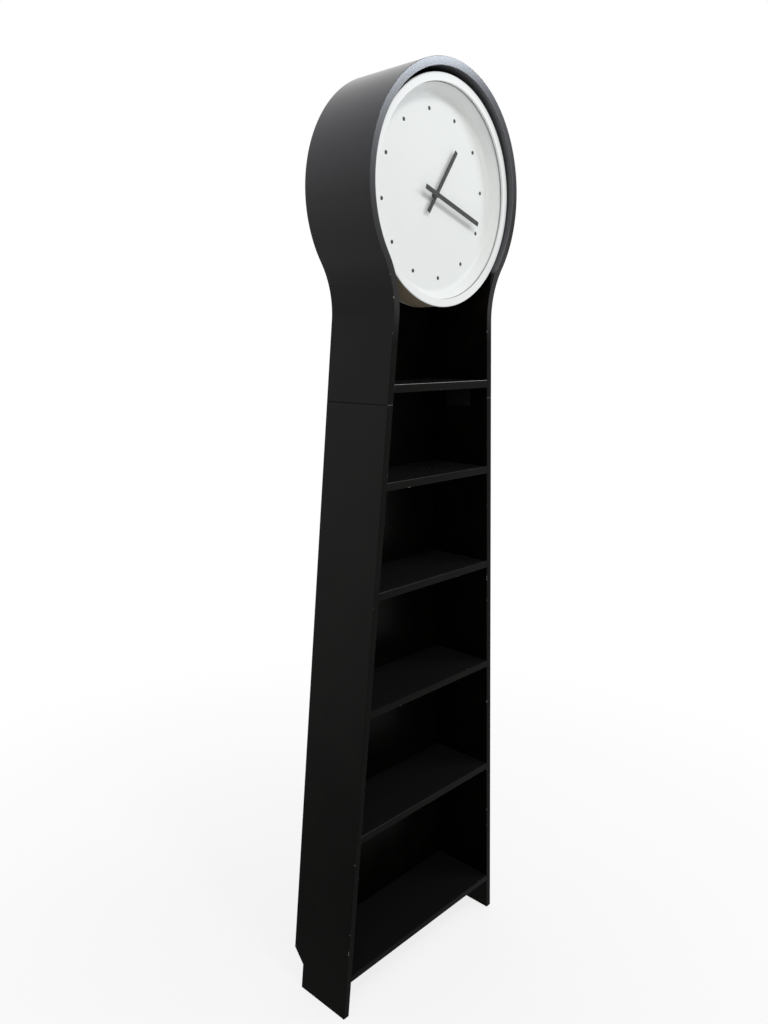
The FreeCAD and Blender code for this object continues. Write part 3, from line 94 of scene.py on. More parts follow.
CLOCK_FRONT = HOUSING_LOW.y
CLOCK_TURN = math.radians(8)
LEVELLED = (0, -CLOCK_TURN, 0)

# Angles between faces past which an edge is shaded sharp, and past which it is rounded
SHARP_ANGLE = math.radians(38)
ARRIS_ANGLE = math.radians(30)

# Each hand's direction, and its tail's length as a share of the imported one
HANDS = {"hour": (math.radians(42.8) - CLOCK_TURN, 0.96), "minute": (math.radians(115.2) - CLOCK_TURN, 1.08)}
HAND_REACH_SHARE = 1.02

# Strength of a pale line in the bare board's colour along the upper front edge of some shelves, on its left
# and right half
SHELF_PALE_LINE = {1: (0.8, 0.9), 2: (0.16, 0.03), 3: (0.14, 0.03), 5: (0.1, 0.03)}

# Bright fittings that take a black finish
BLACKED = ("seam_plates", "seam_screws", "fixing_nut", "fixing_washer", "minute_arbor")

# Lamps, aimed at the dial: direction in degrees from the front to the right and up, sizes in metres
LAMPS = {
    "window_lamp": {"azimuth": -12, "elevation": 44.5, "distance": 2.2, "width": 0.45, "height": 0.45,
                    "colour": (1.0, 0.99, 0.97)},
    "strip_lamp": {"azimuth": 48.7, "elevation": 25.1, "distance": 2.03, "width": 0.62, "height": 0.1,
                   "colour": (0.84, 0.91, 1.0)},
}


def length_setting(name, description, millimetres):
    return FloatProperty(name=name, description=description, default=millimetres * MM, unit="LENGTH")


def share_setting(name, description, default):
    return FloatProperty(name=name, description=description, default=default, min=0, max=1,
                         subtype="FACTOR")


def colour_setting(name, description, default):
    return FloatVectorProperty(name=name, description=description, default=default, min=0, max=1,
                               subtype="COLOR")


class FLOORCLOCK_PG_case(bpy.types.PropertyGroup):
    """Sizes and colours of the painted case"""

    arris: length_setting("Arris", "Radius of the boards' rounded edges", 0.8)
    board: length_setting("Board", "Thickness of the boards", 16)
    seam_half_width: length_setting("Seam half width", "Half of the case's width at the seam", 175)
    neck_radius: length_setting("Neck radius", "Radius of the bend under the ring", 170)
    rebate_width: length_setting("Rebate width", "Width of the step that takes the back", 8)
    rebate_depth: length_setting("Rebate depth", "Depth of the step that takes the back", 12)
    back_gap: length_setting("Back gap", "Gap round the back panels", 0.3)
    notch_depth: length_setting("Notch depth", "Reach of the foot's cut corner", 30)
    notch_height: length_setting("Notch height", "Height of the foot's cut corner", 89)
    paint: colour_setting("Paint", "Colour of the case's paint", (0.0016, 0.0015, 0.0012))
    faded: colour_setting("Faded paint", "Colour where the paint has faded", (0.0028, 0.0026, 0.0021))
    # Slightly blue tint over the ring's upper part: a painted sheen, for the cool lamp's reflection
    bloom_and_painted_sheen: colour_setting("Bloom", "Colour of the ring's slightly blue bloom", (0.009, 0.0095, 0.0145))
    # Paler colour on faces that look up: dust, and painted light where light falls on the shelf tops
    dust_and_top_light: colour_setting("Dust", "Colour of the surfaces that face up", (0.008, 0.008, 0.0085))
    # Paler colour of the ring's inner face: painted light, for the white drum reflected in it
    painted_inner_light: colour_setting("Ring inside", "Colour of the ring's inner face", (0.066, 0.067, 0.072))
    bare: colour_setting("Bare board", "Colour under the chips in the paint", (0.44, 0.44, 0.45))
    gloss: share_setting("Paint roughness", "Roughness of the satin paint", 0.29)
    sheen: share_setting("Sheen", "Weight of the clear coat that fades towards the foot", 0.28)
    dulled: share_setting("Dulled edges", "Share of the clear coat that is missing on front edges", 0.7)
    lacquer: share_setting("Lacquer", "Weight of the further coat over the ring", 0.68)
    handled: share_setting("Handled front", "Weight of the further coat low on the ring's front", 0.45)
    rear_sheen: share_setting("Rear sheen", "Weight of the coat on faces to the rear", 0.3)
    chips: share_setting("Chips", "Share of the edges where the paint has chipped", 0.035)
    rubbed: share_setting("Rubbed seam", "How bare the front edges are rubbed at the seam", 0.16)


class FLOORCLOCK_PG_clock(bpy.types.PropertyGroup):
    """Sizes and colours of the wall clock in the ring"""

    steps: IntProperty(name="Steps", description="Steps round each turned piece", default=180, min=24)
    rim_width: length_setting("Rim width", "Width of the rim's flat front", 15.5)
    rim_lip: length_setting("Rim lip", "How far the rim stands out beyond the drum", 1.0)
    rim_depth: length_setting("Rim depth", "Depth of the rim", 12.5)
    rim_round: length_setting("Rim round", "Radius of the rim's outer edge", 1.5)
    lip_depth: length_setting("Lip depth", "Depth of the part of the rim that stands out", 6)
    wall: length_setting("Drum wall", "Thickness of the drum's wall", 2.5)
    lens_ledge: length_setting("Lens ledge", "Width of the ledge that carries the lens", 2.8)
    # The dark ring round the lens is painted shade: a dark piece where the gap at the lens's edge shows only
    # shadow
    shade_ring: length_setting("Bead", "Width of the dark bead round the lens", 0.65)
    cove_width: length_setting("Cove width", "Width of the sloping cove", 12.5)
    cove_round: length_setting("Cove round", "Radius of the cove's sweep into the dial", 11)
    dot_radius: length_setting("Dot radius", "Radius of the hour dots", 3.9)
    dome: length_setting("Dot dome", "Height of the hour dots' domes", 0.25)
    hand_half: length_setting("Half hand", "Half of a hand's width", 4.65)
    hand_boss: length_setting("Hand boss", "Radius of the hands' round middle", 5.5)
    shell: colour_setting("Drum", "Colour of the moulded drum", SLOT_COLOURS["drum_plastic"])
    # Dark brown on the drum's side behind the rim: painted shade, for the side that lies in shadow
    painted_side_shade: colour_setting("Drum side", "Colour of the drum's bare side", (0.27, 0.22, 0.155))
    face: colour_setting("Dial", "Colour of the painted dial", SLOT_COLOURS["dial_paint"])
    ink: colour_setting("Hands", "Colour of the painted hands", (0.022, 0.022, 0.022))


class FLOORCLOCK_PG_stage(bpy.types.PropertyGroup):
    """Camera, lights and floor"""

    camera_place: FloatVectorProperty(name="Camera place", description="Where the camera stands",
                                      default=(-1.41307, -1.16076, 1.46880), subtype="TRANSLATION",
                                      unit="LENGTH")
    yaw: FloatProperty(name="Yaw", description="Turn of the camera to the right", default=0.7726,
                       subtype="ANGLE", unit="ROTATION")
    pitch: FloatProperty(name="Pitch", description="How far the camera looks down", default=0.2356,
                         subtype="ANGLE", unit="ROTATION")
    focal: FloatProperty(name="Focal length", description="Focal length in millimetres", default=29.218)
    shift: FloatVectorProperty(name="Shift", description="Shift of the camera's frame", size=2,
                               default=(0.0641, 0.0315))
    key_power: FloatProperty(name="Key power", description="Power of the main soft lamp in watts",
                             default=16.5)
    gleam_power: FloatProperty(name="Gleam power", description="Power of the low strip lamp in watts",
                               default=12)
    fill: FloatProperty(name="Fill", description="Strength of the light from all round", default=0.71,
                        min=0, soft_max=2)
    shadow: share_setting("Shadow", "How much of the object's shadow the floor shows near it", 0.2)
    fade: FloatVectorProperty(name="Fade", description="Distances between which the floor turns white",
                              size=2, default=(0.4, 2.2), unit="LENGTH")
    floor: colour_setting("Floor", "Colour of the pale floor", (0.85, 0.85, 0.85))


# Node trees from Python expressions
class Field:
    """A socket whose arithmetic adds Math nodes to its tree."""

    def __init__(self, net, socket):
        self.net = net
        self.socket = socket

    def math(self, operation, *terms):
        return self.net.node("ShaderNodeMath", dict(enumerate(terms)), operation=operation)

    def __add__(self, other):
        return self.math("ADD", self, other)

    __radd__ = __add__

    def __sub__(self, other):
        return self.math("SUBTRACT", self, other)

    def __rsub__(self, other):
        return self.math("SUBTRACT", other, self)

    def __mul__(self, other):
        return self.math("MULTIPLY", self, other)

    __rmul__ = __mul__

    def __truediv__(self, other):
        return self.math("DIVIDE", self, other)

    def __rtruediv__(self, other):
        return self.math("DIVIDE", other, self)

    def __pow__(self, exponent):
        return self.math("POWER", self, exponent)

    def __rpow__(self, base):
        return self.math("POWER", base, self)

    def __lt__(self, other):
        return self.math("LESS_THAN", self, other)

    def __gt__(self, other):
        return self.math("GREATER_THAN", self, other)

    def __abs__(self):
        return self.math("ABSOLUTE", self)

    def root(self):
        return self.math("SQRT", self)

    def floor(self):
        return self.math("FLOOR", self)

    def larger(self, other):
        return self.math("MAXIMUM", self, other)

    def ease(self, low, high):
        """Rise smoothly from 0 to 1 between two values."""
        return self.net.node("ShaderNodeMapRange", {"Value": self, "From Min": low, "From Max": high},
                             interpolation_type="SMOOTHSTEP")


class Net:
    """A node tree that takes its nodes through one method."""

    def __init__(self, tree):
        self.tree = tree

    def add(self, kind, values=None, **settings):
        made = self.tree.nodes.new(kind)
        for name, value in settings.items():
            setattr(made, name, value)
        for key, value in (values or {}).items():
            self.feed(made.inputs[key], value)
        return made

    def node(self, kind, values=None, output=0, **settings):
        return Field(self, self.add(kind, values, **settings).outputs[output])

    def feed(self, socket, value):
        if isinstance(value, Field):
            self.tree.links.new(value.socket, socket)
        else:
            socket.default_value = value


def rgba(colour):
    return (*tuple(colour)[:3], 1.0)


class Paint(Net):
    """A procedural finish around one surface shader."""

    def __init__(self, name, **constants):
        self.base = SLOT_COLOURS.get(name)
        self.material = bpy.data.materials.new(name)
        self.material.use_nodes = True
        super().__init__(self.material.node_tree)
        self.tree.nodes.clear()
        self.shader = self.add("ShaderNodeBsdfPrincipled")
        self.out = self.add("ShaderNodeOutputMaterial")
        self.tree.links.new(self.shader.outputs[0], self.out.inputs["Surface"])
        for key, value in constants.items():
            self.shader.inputs[key.replace("_", " ")].default_value = value

    def place(self, scale=(1, 1, 1), turn=(0, 0, 0)):
        coordinates = self.node("ShaderNodeTexCoord", output="Object")
        return self.node("ShaderNodeMapping", {"Vector": coordinates, "Scale": scale, "Rotation": turn})

    def axis(self, letter, place=None):
        place = place or self.place()
        return self.node("ShaderNodeSeparateXYZ", {0: place}, output="XYZ".index(letter))

    def noise(self, scale, detail=2.0, roughness=0.5, where=None):
        return self.node("ShaderNodeTexNoise", {"Vector": where or self.place(), "Scale": scale,
                                                "Detail": detail, "Roughness": roughness})

    def cells(self, scale, where):
        return self.node("ShaderNodeTexVoronoi", {"Vector": where, "Scale": scale})

    def stripes(self, scale, direction, where, distortion=0.0):
        return self.node("ShaderNodeTexWave", {"Vector": where, "Scale": scale, "Distortion": distortion,
                                               "Detail": 1.0}, output="Fac", bands_direction=direction)

    def mark(self, name):
        """The value that a mesh carries on its points under a name."""
        return self.node("ShaderNodeAttribute", output="Fac", attribute_name=name)

    def mix(self, factor, first, second):
        first, second = (value if isinstance(value, Field) else rgba(value) for value in (first, second))
        return self.node("ShaderNodeMix", {0: factor, 6: first, 7: second}, output=2, data_type="RGBA")

    def tones(self, mask, first, second, colour=None):
        """The slot's or another colour, whose lightness runs between two shares of it along a mask."""
        colour = self.base if colour is None else colour
        return self.mix(mask, shade(colour, first), shade(colour, second))

    def relief(self, height, depth):
        return self.node("ShaderNodeBump", {"Strength": 1.0, "Distance": depth, "Height": height})

    def finish(self, colour=None, roughness=None, normal=None, metallic=None):
        for key, value in (("Base Color", colour), ("Roughness", roughness), ("Normal", normal),
                           ("Metallic", metallic)):
            if value is not None:
                self.feed(self.shader.inputs[key], value)
        return self.material


def shade(colour, share):
    """A colour made lighter or darker by a share."""
    return tuple(min(part * share, 1.0) for part in tuple(colour)[:3])


# Finishes, one for each material slot
def case_paint(along):
    """Satin black paint over a board whose grain runs along an axis, shinier towards the ring, and paler on
    faces that look up with dust and painted light.
    """
    look = bpy.context.scene.floor_clock_case
    paint = Paint(f"case_paint_{along}", Specular_IOR_Level=0.02, Coat_Roughness=0.26)
    height = paint.axis("Z")
    from_seam = abs(height - SEAM_HEIGHT)
    facing = paint.node("ShaderNodeNewGeometry", output="Normal")
    rear, up = paint.axis("Y", facing), paint.axis("Z", facing)
    coat = height.ease(0.15, 1.5) * look.sheen * (1 - abs(rear) * look.dulled)
    coat = coat + rear.ease(0.5, 1.0) * look.rear_sheen
    mottle = paint.noise(11.0, 3.0)
    colour = paint.mix(mottle.ease(0.35, 0.7), look.paint, look.faded)
    # Paler on faces that look up: dust, and painted light on the tops
    colour = paint.mix(up.ease(0.9, 1.0), colour, look.dust_and_top_light)
    if along == "none":
        # The bent head alone: lacquer, handling, a painted blue sheen over the upper part and painted light
        # on the inner face
        across, above = paint.axis("X"), height - RING_HEIGHT
        left_or_low = across.ease(0.15, -0.1).larger(above.ease(-0.04, -0.14))
        handled = abs(rear) * left_or_low * above.ease(0.22, 0.04) * above.ease(-0.3, -0.2)
        coat = coat + above.ease(-0.21, 0.16) * look.lacquer + handled * look.handled
        from_hub = (across * across + above * above).root()
        # Painted sheen: a slightly blue tint over the ring's upper part
        colour = paint.mix(above.ease(-0.1, 0.1), colour, look.bloom_and_painted_sheen)
        # Painted light: the ring's inner face takes a paler colour, for the white drum reflected in it
        inner = RING_RADIUS - look.board
        colour = paint.mix(from_hub.ease(inner + 3 * MM, inner + MM), colour, look.painted_inner_light)
    paint.feed(paint.shader.inputs["Coat Weight"], coat * from_seam.ease(0.4 * MM, 1.1 * MM))
    stretch = {"x": (7, 130, 130), "z": (130, 130, 7), "none": (60, 60, 60)}[along]
    grain = paint.noise(1.0, 4.0, 0.6, paint.place(stretch))
    peel = paint.noise(900.0, 1.0)
    flaw = paint.noise(90.0, 3.0, 0.6)
    limit = 0.7 - look.chips
    # Chips at random along the rounded edges, and the pale line along some shelves' upper front edges, both
    # in the bare board's colour
    chips_and_pale_line = flaw.ease(limit, limit + 0.04) + paint.mark("worn") * (0.6 + flaw * 0.8)
    chips_and_pale_line = paint.mark("arris").ease(0.3, 0.7) * chips_and_pale_line * from_seam.ease(1.0 * MM, 2.0 * MM)
    rubbed = (paint.axis("Y") < CASE_FRONT + 1.5 * MM) * (from_seam < 0.9 * MM)
    colour = paint.mix(rubbed * look.rubbed, paint.mix(chips_and_pale_line, colour, look.bare), look.bare)
    roughness = look.gloss - 0.05 + mottle * 0.1 + chips_and_pale_line * 0.3
    return paint.finish(colour, roughness, paint.relief(grain * 0.8 + peel * 0.2, 0.05 * MM))


def rail_wood():
    paint = Paint("rail_wood", Specular_IOR_Level=0.3)
    grain = paint.noise(1.0, 5.0, 0.6, paint.place((6, 120, 120)))
    return paint.finish(paint.tones(grain.ease(0.3, 0.7), 0.7, 1.6),
                        0.6 + grain * 0.2, paint.relief(grain, 0.08 * MM))


def blacked_steel():
    """Steel with a thin black oxide, in slightly cloudy patches."""
    paint = Paint("blacked_steel", Specular_IOR_Level=0.08)
    clouds = paint.noise(500.0, 3.0, 0.6)
    return paint.finish(paint.mix(clouds.ease(0.3, 0.7), (0.006, 0.006, 0.007), (0.014, 0.014, 0.015)),
                        0.4 + clouds * 0.15, paint.relief(paint.noise(2600.0, 2.0), 0.01 * MM))


def beech():
    paint = Paint("beech", Specular_IOR_Level=0.4)
    grain = paint.noise(1.0, 5.0, 0.65, paint.place((40, 700, 700)))
    flecks = paint.cells(1.0, paint.place((300, 2500, 2500))).ease(0.0, 0.3)
    tone = paint.tones(grain.ease(0.3, 0.7), 0.75, 1.15)
    return paint.finish(paint.mix(flecks * 0.5 + 0.5, shade(paint.base, 0.55), tone), 0.6 + grain * 0.15,
                        paint.relief(grain, 0.05 * MM))


def felt():
    paint = Paint("felt", Specular_IOR_Level=0.1, Sheen_Weight=0.6)
    fibres = paint.noise(1400.0, 4.0, 0.7)
    clumps = paint.noise(260.0, 3.0)
    return paint.finish(paint.tones(clumps * fibres * 2.0, 0.6, 1.7),
                        0.92 + fibres * 0.06, paint.relief(fibres + clumps, 0.25 * MM))


def plated(name, dark, light, roughness, pitted):
    """Plated or cast metal with a cloudy bloom and fine pits."""
    paint = Paint(name)
    bloom_and_painted_sheen = paint.noise(420.0, 3.0, 0.6)
    pits = paint.noise(2600.0, 2.0)
    return paint.finish(paint.tones(bloom_and_painted_sheen.ease(0.3, 0.7), dark, light),
                        roughness + bloom_and_painted_sheen * 0.18, paint.relief(pits, pitted), 1.0)


def rolled(name, roughness):
    """Rolled or turned metal with fine lines along it."""
    paint = Paint(name)
    lines = paint.noise(1.0, 3.0, 0.6, paint.place((120, 4000, 4000), LEVELLED))
    return paint.finish(paint.tones(lines.ease(0.3, 0.7), 0.85, 1.1),
                        roughness + lines * 0.12, paint.relief(lines, 0.01 * MM), 1.0)


def moulded(name, roughness, grain_scale, grain_depth):
    """Moulded plastic with a fine spark-eroded skin and slight flow clouds."""
    paint = Paint(name)
    skin = paint.noise(grain_scale, 2.0)
    clouds = paint.noise(25.0, 3.0)
    return paint.finish(paint.tones(clouds.ease(0.3, 0.7), 0.94, 1.05),
                        roughness + skin * 0.08 + clouds * 0.05, paint.relief(skin, grain_depth))


def drum_plastic():
    """White enamelled plastic with faint handling marks, and painted shade in dark brown on the drum's side.
    """
    look = bpy.context.scene.floor_clock_clock
    paint = Paint("drum_plastic", Specular_IOR_Level=0.15)
    clouds = paint.noise(18.0, 3.0)
    skin = paint.noise(700.0, 1.0)
    marks = paint.noise(1.0, 4.0, 0.7, paint.place((60, 60, 60))).ease(0.66, 0.8)
    across, height = paint.axis("X"), paint.axis("Z") - CLOCK_HEIGHT
    radius = (across * across + height * height).root()
    behind_rim = (paint.axis("Y") - CLOCK_FRONT).ease(look.rim_round, look.rim_round + 0.5 * MM)
    # Painted shade: the drum's side behind the rim takes a dark brown colour
    side = radius.ease(CLOCK_RADIUS - 6 * MM, CLOCK_RADIUS - 3 * MM) * behind_rim
    colour = paint.tones(clouds, 0.985, 1.01, look.shell)
    colour = paint.mix(side, colour, paint.tones(clouds, 0.9, 1.1, look.painted_side_shade))
    colour = paint.mix(marks * 0.25, colour, shade(look.shell, 0.8))
    return paint.finish(colour, 0.42 + clouds * 0.06 + marks * 0.1, paint.relief(skin, 0.012 * MM))


def dial_paint():
    """Matt white paint on the dial's sheet."""
    look = bpy.context.scene.floor_clock_clock
    paint = Paint("dial_paint", Specular_IOR_Level=0.3)
    clouds = paint.noise(9.0, 3.0)
    tooth = paint.noise(1500.0, 2.0)
    return paint.finish(paint.tones(clouds, 0.985, 1.01, look.face),
                        0.55 + tooth * 0.1, paint.relief(tooth, 0.015 * MM))


def inked(name, colour=None):
    """Dark satin enamel of the hands and the dots."""
    paint = Paint(name, Specular_IOR_Level=0.12)
    clouds = paint.noise(160.0, 2.0)
    return paint.finish(paint.tones(clouds, 0.8, 1.25, colour), 0.38 + clouds * 0.1,
                        paint.relief(paint.noise(1800.0, 1.0), 0.01 * MM))


def lens_glass():
    """Clear mineral glass: see-through, with reflections that grow as it is seen more from the side."""
    paint = Paint("lens_glass", Metallic=1.0)
    haze = paint.noise(30.0, 2.0)
    paint.finish((1.0, 1.0, 1.0, 1.0), 0.02 + haze * 0.02)
    clear = paint.add("ShaderNodeBsdfTransparent", {"Color": (0.990, 0.992, 0.990, 1.0)})
    tilt = paint.node("ShaderNodeLayerWeight", {"Blend": 0.5}, output="Facing")
    gleam = tilt ** 5.0 * 0.9 + 0.012
    glossy = paint.add("ShaderNodeMixShader", {0: gleam})
    paint.tree.links.new(clear.outputs[0], glossy.inputs[1])
    paint.tree.links.new(paint.shader.outputs[0], glossy.inputs[2])
    paint.tree.links.new(glossy.outputs[0], paint.out.inputs["Surface"])
    return paint.material


def wound_copper():
    """Enamelled copper wire wound along the coil."""
    paint = Paint("copper", Coat_Weight=0.4)
    turns = paint.stripes(2400.0, "X", paint.place(turn=LEVELLED))
    return paint.finish(paint.tones(turns, 0.45, 1.1), 0.3 + turns * 0.1,
                        paint.relief(turns, 0.06 * MM), 1.0)


def circuit_lacquer():
    """Green lacquer with the paler lines of the copper under it."""
    paint = Paint("board_green", Specular_IOR_Level=0.5)
    place = paint.place(turn=LEVELLED)
    across = paint.stripes(260.0, "Z", place, 3.0).ease(0.75, 0.85)
    weave = paint.noise(2200.0, 1.0)
    return paint.finish(paint.tones(across, 0.8, 2.2), 0.3 + weave * 0.1,
                        paint.relief(across + weave * 0.2, 0.04 * MM))


def cell_jacket():
    """Battery jacket in two plain bands, with bright metal ends."""
    paint = Paint("cell_jacket", Specular_IOR_Level=0.6)
    low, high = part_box("battery")
    middle = (low + high) / 2
    place = paint.place(turn=LEVELLED)
    local = Matrix.Rotation(-CLOCK_TURN, 3, "Y") @ middle
    along = paint.axis("X", place) - local.x
    band_foot, metal_foot, blur = 9.8 * MM, 24.2 * MM, 0.2 * MM
    band = along.ease(band_foot, band_foot + 2 * blur)
    metal = abs(along).ease(metal_foot, metal_foot + blur)
    scuffs = paint.noise(500.0, 4.0, 0.7).ease(0.6, 0.8)
    colour = paint.mix(band, paint.base, (0.55, 0.56, 0.58))
    colour = paint.mix(scuffs * 0.2, colour, (0.6, 0.6, 0.6))
    return paint.finish(paint.mix(metal, colour, (0.66, 0.66, 0.67)), 0.28 + scuffs * 0.2, None, metal)


def rubber():
    paint = Paint("rubber", Specular_IOR_Level=0.25)
    dust_and_top_light = paint.noise(800.0, 3.0)
    return paint.finish(paint.tones(dust_and_top_light, 0.7, 1.5), 0.8 + dust_and_top_light * 0.1,
                        paint.relief(dust_and_top_light, 0.04 * MM))


FINISHES = {
    "case_paint": lambda: case_paint("none"),
    "case_paint_x": lambda: case_paint("x"),
    "case_paint_z": lambda: case_paint("z"),
    "rail_wood": rail_wood,
    "beech": beech,
    "felt": felt,
    "blacked_steel": blacked_steel,
    "zinc_steel": lambda: plated("zinc_steel", 0.85, 1.1, 0.26, 0.01 * MM),
    "cam_zinc": lambda: plated("cam_zinc", 0.75, 1.1, 0.42, 0.05 * MM),
    "crystal_can": lambda: plated("crystal_can", 0.9, 1.05, 0.18, 0.005 * MM),
    "magnet": lambda: plated("magnet", 0.7, 1.2, 0.4, 0.03 * MM),
    "core_steel": lambda: rolled("core_steel", 0.3),
    "brass": lambda: rolled("brass", 0.24),
    "copper": wound_copper,
    "drum_plastic": drum_plastic,
    "cover_plastic": lambda: moulded("cover_plastic", 0.5, 900.0, 0.05 * MM),
    "movement_plastic": lambda: moulded("movement_plastic", 0.42, 1200.0, 0.03 * MM),
    "gear_plastic": lambda: moulded("gear_plastic", 0.35, 1600.0, 0.01 * MM),
    "dial_paint": dial_paint,
    "marker_plastic": lambda: inked("marker_plastic"),
    "hand_paint": lambda: inked("hand_paint", bpy.context.scene.floor_clock_clock.ink),
    "lens_glass": lens_glass,
    "rubber": rubber,
    "board_green": circuit_lacquer,
    "cell_jacket": cell_jacket,
}


@cache
def finish_of(name):
    """The finish of that name, made when it is first asked for."""
    return FINISHES[name]()


# Meshes
def linked(name, bm, material=None):
    """A new object of a finished bmesh."""
    mesh = bpy.data.meshes.new(name)
    bm.to_mesh(mesh)
    bm.free()
    if material:
        mesh.materials.append(material)
    made = bpy.data.objects.new(name, mesh)
    bpy.context.scene.collection.objects.link(made)
    return made


def discard(item):
    mesh = item.data
    bpy.data.objects.remove(item)
    bpy.data.meshes.remove(mesh)


def apply_modifiers(item):
    """Turn what the modifiers make into the object's own plain mesh."""
    graph = bpy.context.evaluated_depsgraph_get()
    mesh = bpy.data.meshes.new_from_object(item.evaluated_get(graph))
    item.modifiers.clear()
    old = item.data
    item.data = mesh
    bpy.data.meshes.remove(old)
    return item


def even_shading(item):
    """Shade rounded strips smooth and wide faces flat."""
    item.data.shade_smooth()
    item.data.set_sharp_from_angle(angle=SHARP_ANGLE)
    weights = item.modifiers.new("weights", "WEIGHTED_NORMAL")
    weights.keep_sharp = True
    return apply_modifiers(item)


def finished(item, body, slot, *replaced):
    """Hand a finished object over to its body, and hide the nodes that it stands for; its slot is not used.
    """
    item.data.name = item.name
    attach(item, body)
    if replaced:
        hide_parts(*replaced)
    return item


def round_arrises(bm, width, steps=3, worn=None):
    """Round the sharp edges and mark the rounded strips, and the strength of a pale line along them, in two
    attributes.
    """
    layer = bm.verts.layers.float.new("arris")
    pale_layer = bm.verts.layers.float.new("worn")
    edges = [edge for edge in bm.edges if edge.calc_face_angle(0) > ARRIS_ANGLE and (
        not worn or abs(edge.verts[0].co.x - edge.verts[1].co.x) > edge.calc_length() * 0.9)]
    made = bmesh.ops.bevel(bm, geom=edges, offset=width, offset_type="OFFSET", segments=steps,
                           profile=0.5, affect="EDGES", clamp_overlap=True)
    strips = set(made["faces"])
    for vert in made["verts"]:
        vert[layer] = float(all(face in strips or (worn and abs(face.normal.x) > 0.9)
                                for face in vert.link_faces))
        vert[pale_layer] = worn(vert.co) if worn else 0.0


def loft(sections, bm=None):
    """A closed solid through sections with equal numbers of points, added to a bmesh or to a new one."""
    bm = bmesh.new() if bm is None else bm
    rings = [[bm.verts.new(point) for point in section] for section in sections]
    count = len(rings[0])
    for ring, after in zip(rings, rings[1:]):
        for index in range(count):
            following = (index + 1) % count
            bm.faces.new((ring[index], ring[following], after[following], after[index]))
    bm.faces.new(reversed(rings[0]))
    bm.faces.new(rings[-1])
    bmesh.ops.recalc_face_normals(bm, faces=bm.faces)
    return bm


def upright_board(outline, near, far):
    """A board of an outline in the front view, from its front face to its rear face."""
    return loft([[(x, y, z) for x, z in outline] for y in (near, far)])


def cut(item, bm):
    """Cut a bmesh, whose parts may overlap, out of an object."""
    cutter = linked("cutter", bm)
    modifier = item.modifiers.new("cut", "BOOLEAN")
    modifier.object = cutter
    modifier.solver = "EXACT"
    modifier.use_self = True
    apply_modifiers(item)
    discard(cutter)
    return item


def bored(item, rods):
    """Cut rods, each a foot, an axis, a length and a radius, out of an object."""
    bm = bmesh.new()
    for foot, axis, length, radius in rods:
        axis = Vector(axis)
        turn = axis.to_track_quat("Z", "Y").to_matrix().to_4x4()
        place = Matrix.Translation(Vector(foot) + axis * length / 2) @ turn
        bmesh.ops.create_cone(bm, cap_ends=True, segments=40, radius1=radius, radius2=radius,
                              depth=length, matrix=place)
    return cut(item, bm)


def islands(node):
    """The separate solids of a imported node, each as a list of points."""
    bm = bmesh.new()
    bm.from_mesh(NODES[node].data)
    bmesh.ops.remove_doubles(bm, verts=bm.verts, dist=0.001 * MM)
    left = set(bm.verts)
    found = []
    while left:
        edge = [left.pop()]
        island = []
        while edge:
            vert = edge.pop()
            island.append(vert.co.copy())
            for link in vert.link_edges:
                other = link.other_vert(vert)
                if other in left:
                    left.remove(other)
                    edge.append(other)
        found.append(island)
    bm.free()
    return found


def end_faces(node, direction):
    """The middle of each solid's end towards a direction, which may depend on the solid."""
    places = []
    for island in islands(node):
        centre = sum(island, Vector()) / len(island)
        axis = Vector(direction(centre) if callable(direction) else direction)
        reach = max(point.dot(axis) for point in island)
        end = [point for point in island if point.dot(axis) > reach - 0.02 * MM]
        low = Vector(min(point[i] for point in end) for i in range(3))
        high = Vector(max(point[i] for point in end) for i in range(3))
        places.append(((low + high) / 2, axis))
    places.sort(key=lambda place: tuple(round(part, 5) for part in place[0]))
    return places


# Geometry Nodes trees
def tree_input(tree, name, kind, value=None):
    socket = tree.interface.new_socket(name, in_out="INPUT", socket_type=kind)
    if value is not None:
        socket.default_value = value
    return socket


def new_tree(name, *inputs):
    """An empty tree that takes and gives geometry, with further named inputs."""
    tree = bpy.data.node_groups.new(name, "GeometryNodeTree")
    tree_input(tree, "Geometry", "NodeSocketGeometry")
    for row in inputs:
        tree_input(tree, *row)
    tree.interface.new_socket("Geometry", in_out="OUTPUT", socket_type="NodeSocketGeometry")
    net = Net(tree)
    entry = net.add("NodeGroupInput")
    fields = {socket.name: Field(net, socket) for socket in entry.outputs if socket.name}
    return net, fields


def end_tree(net, geometry, material):
    real = net.node("GeometryNodeRealizeInstances", {"Geometry": geometry})
    painted = net.node("GeometryNodeSetMaterial", {"Geometry": real, "Material": material})
    net.add("NodeGroupOutput", {"Geometry": painted})
    return net.tree


@cache
def turning_tree():
    """Turns a row of points about the Y axis into a closed shell."""
    net, inputs = new_tree("turned_piece", ("Steps", "NodeSocketInt", 96),
                           ("Material", "NodeSocketMaterial"))
    count = net.node("GeometryNodeAttributeDomainSize", {"Geometry": inputs["Geometry"]},
                     component="MESH")
    grid = net.node("GeometryNodeMeshGrid", {"Vertices X": inputs["Steps"] + 1, "Vertices Y": count})
    index = net.node("GeometryNodeInputIndex")
    turn = (index / count).floor()
    section = net.node("GeometryNodeSampleIndex", {
        "Geometry": inputs["Geometry"], "Value": net.node("GeometryNodeInputPosition"),
        "Index": index - turn * count}, data_type="FLOAT_VECTOR")
    angle = turn * (2 * math.pi) / inputs["Steps"]
    place = net.node("ShaderNodeVectorRotate", {"Vector": section, "Angle": angle}, rotation_type="Y_AXIS")
    shell = net.node("GeometryNodeSetPosition", {"Geometry": grid, "Position": place})
    merged = net.node("GeometryNodeMergeByDistance", {"Geometry": shell, "Distance": 0.0005 * MM})
    return end_tree(net, merged, inputs["Material"])


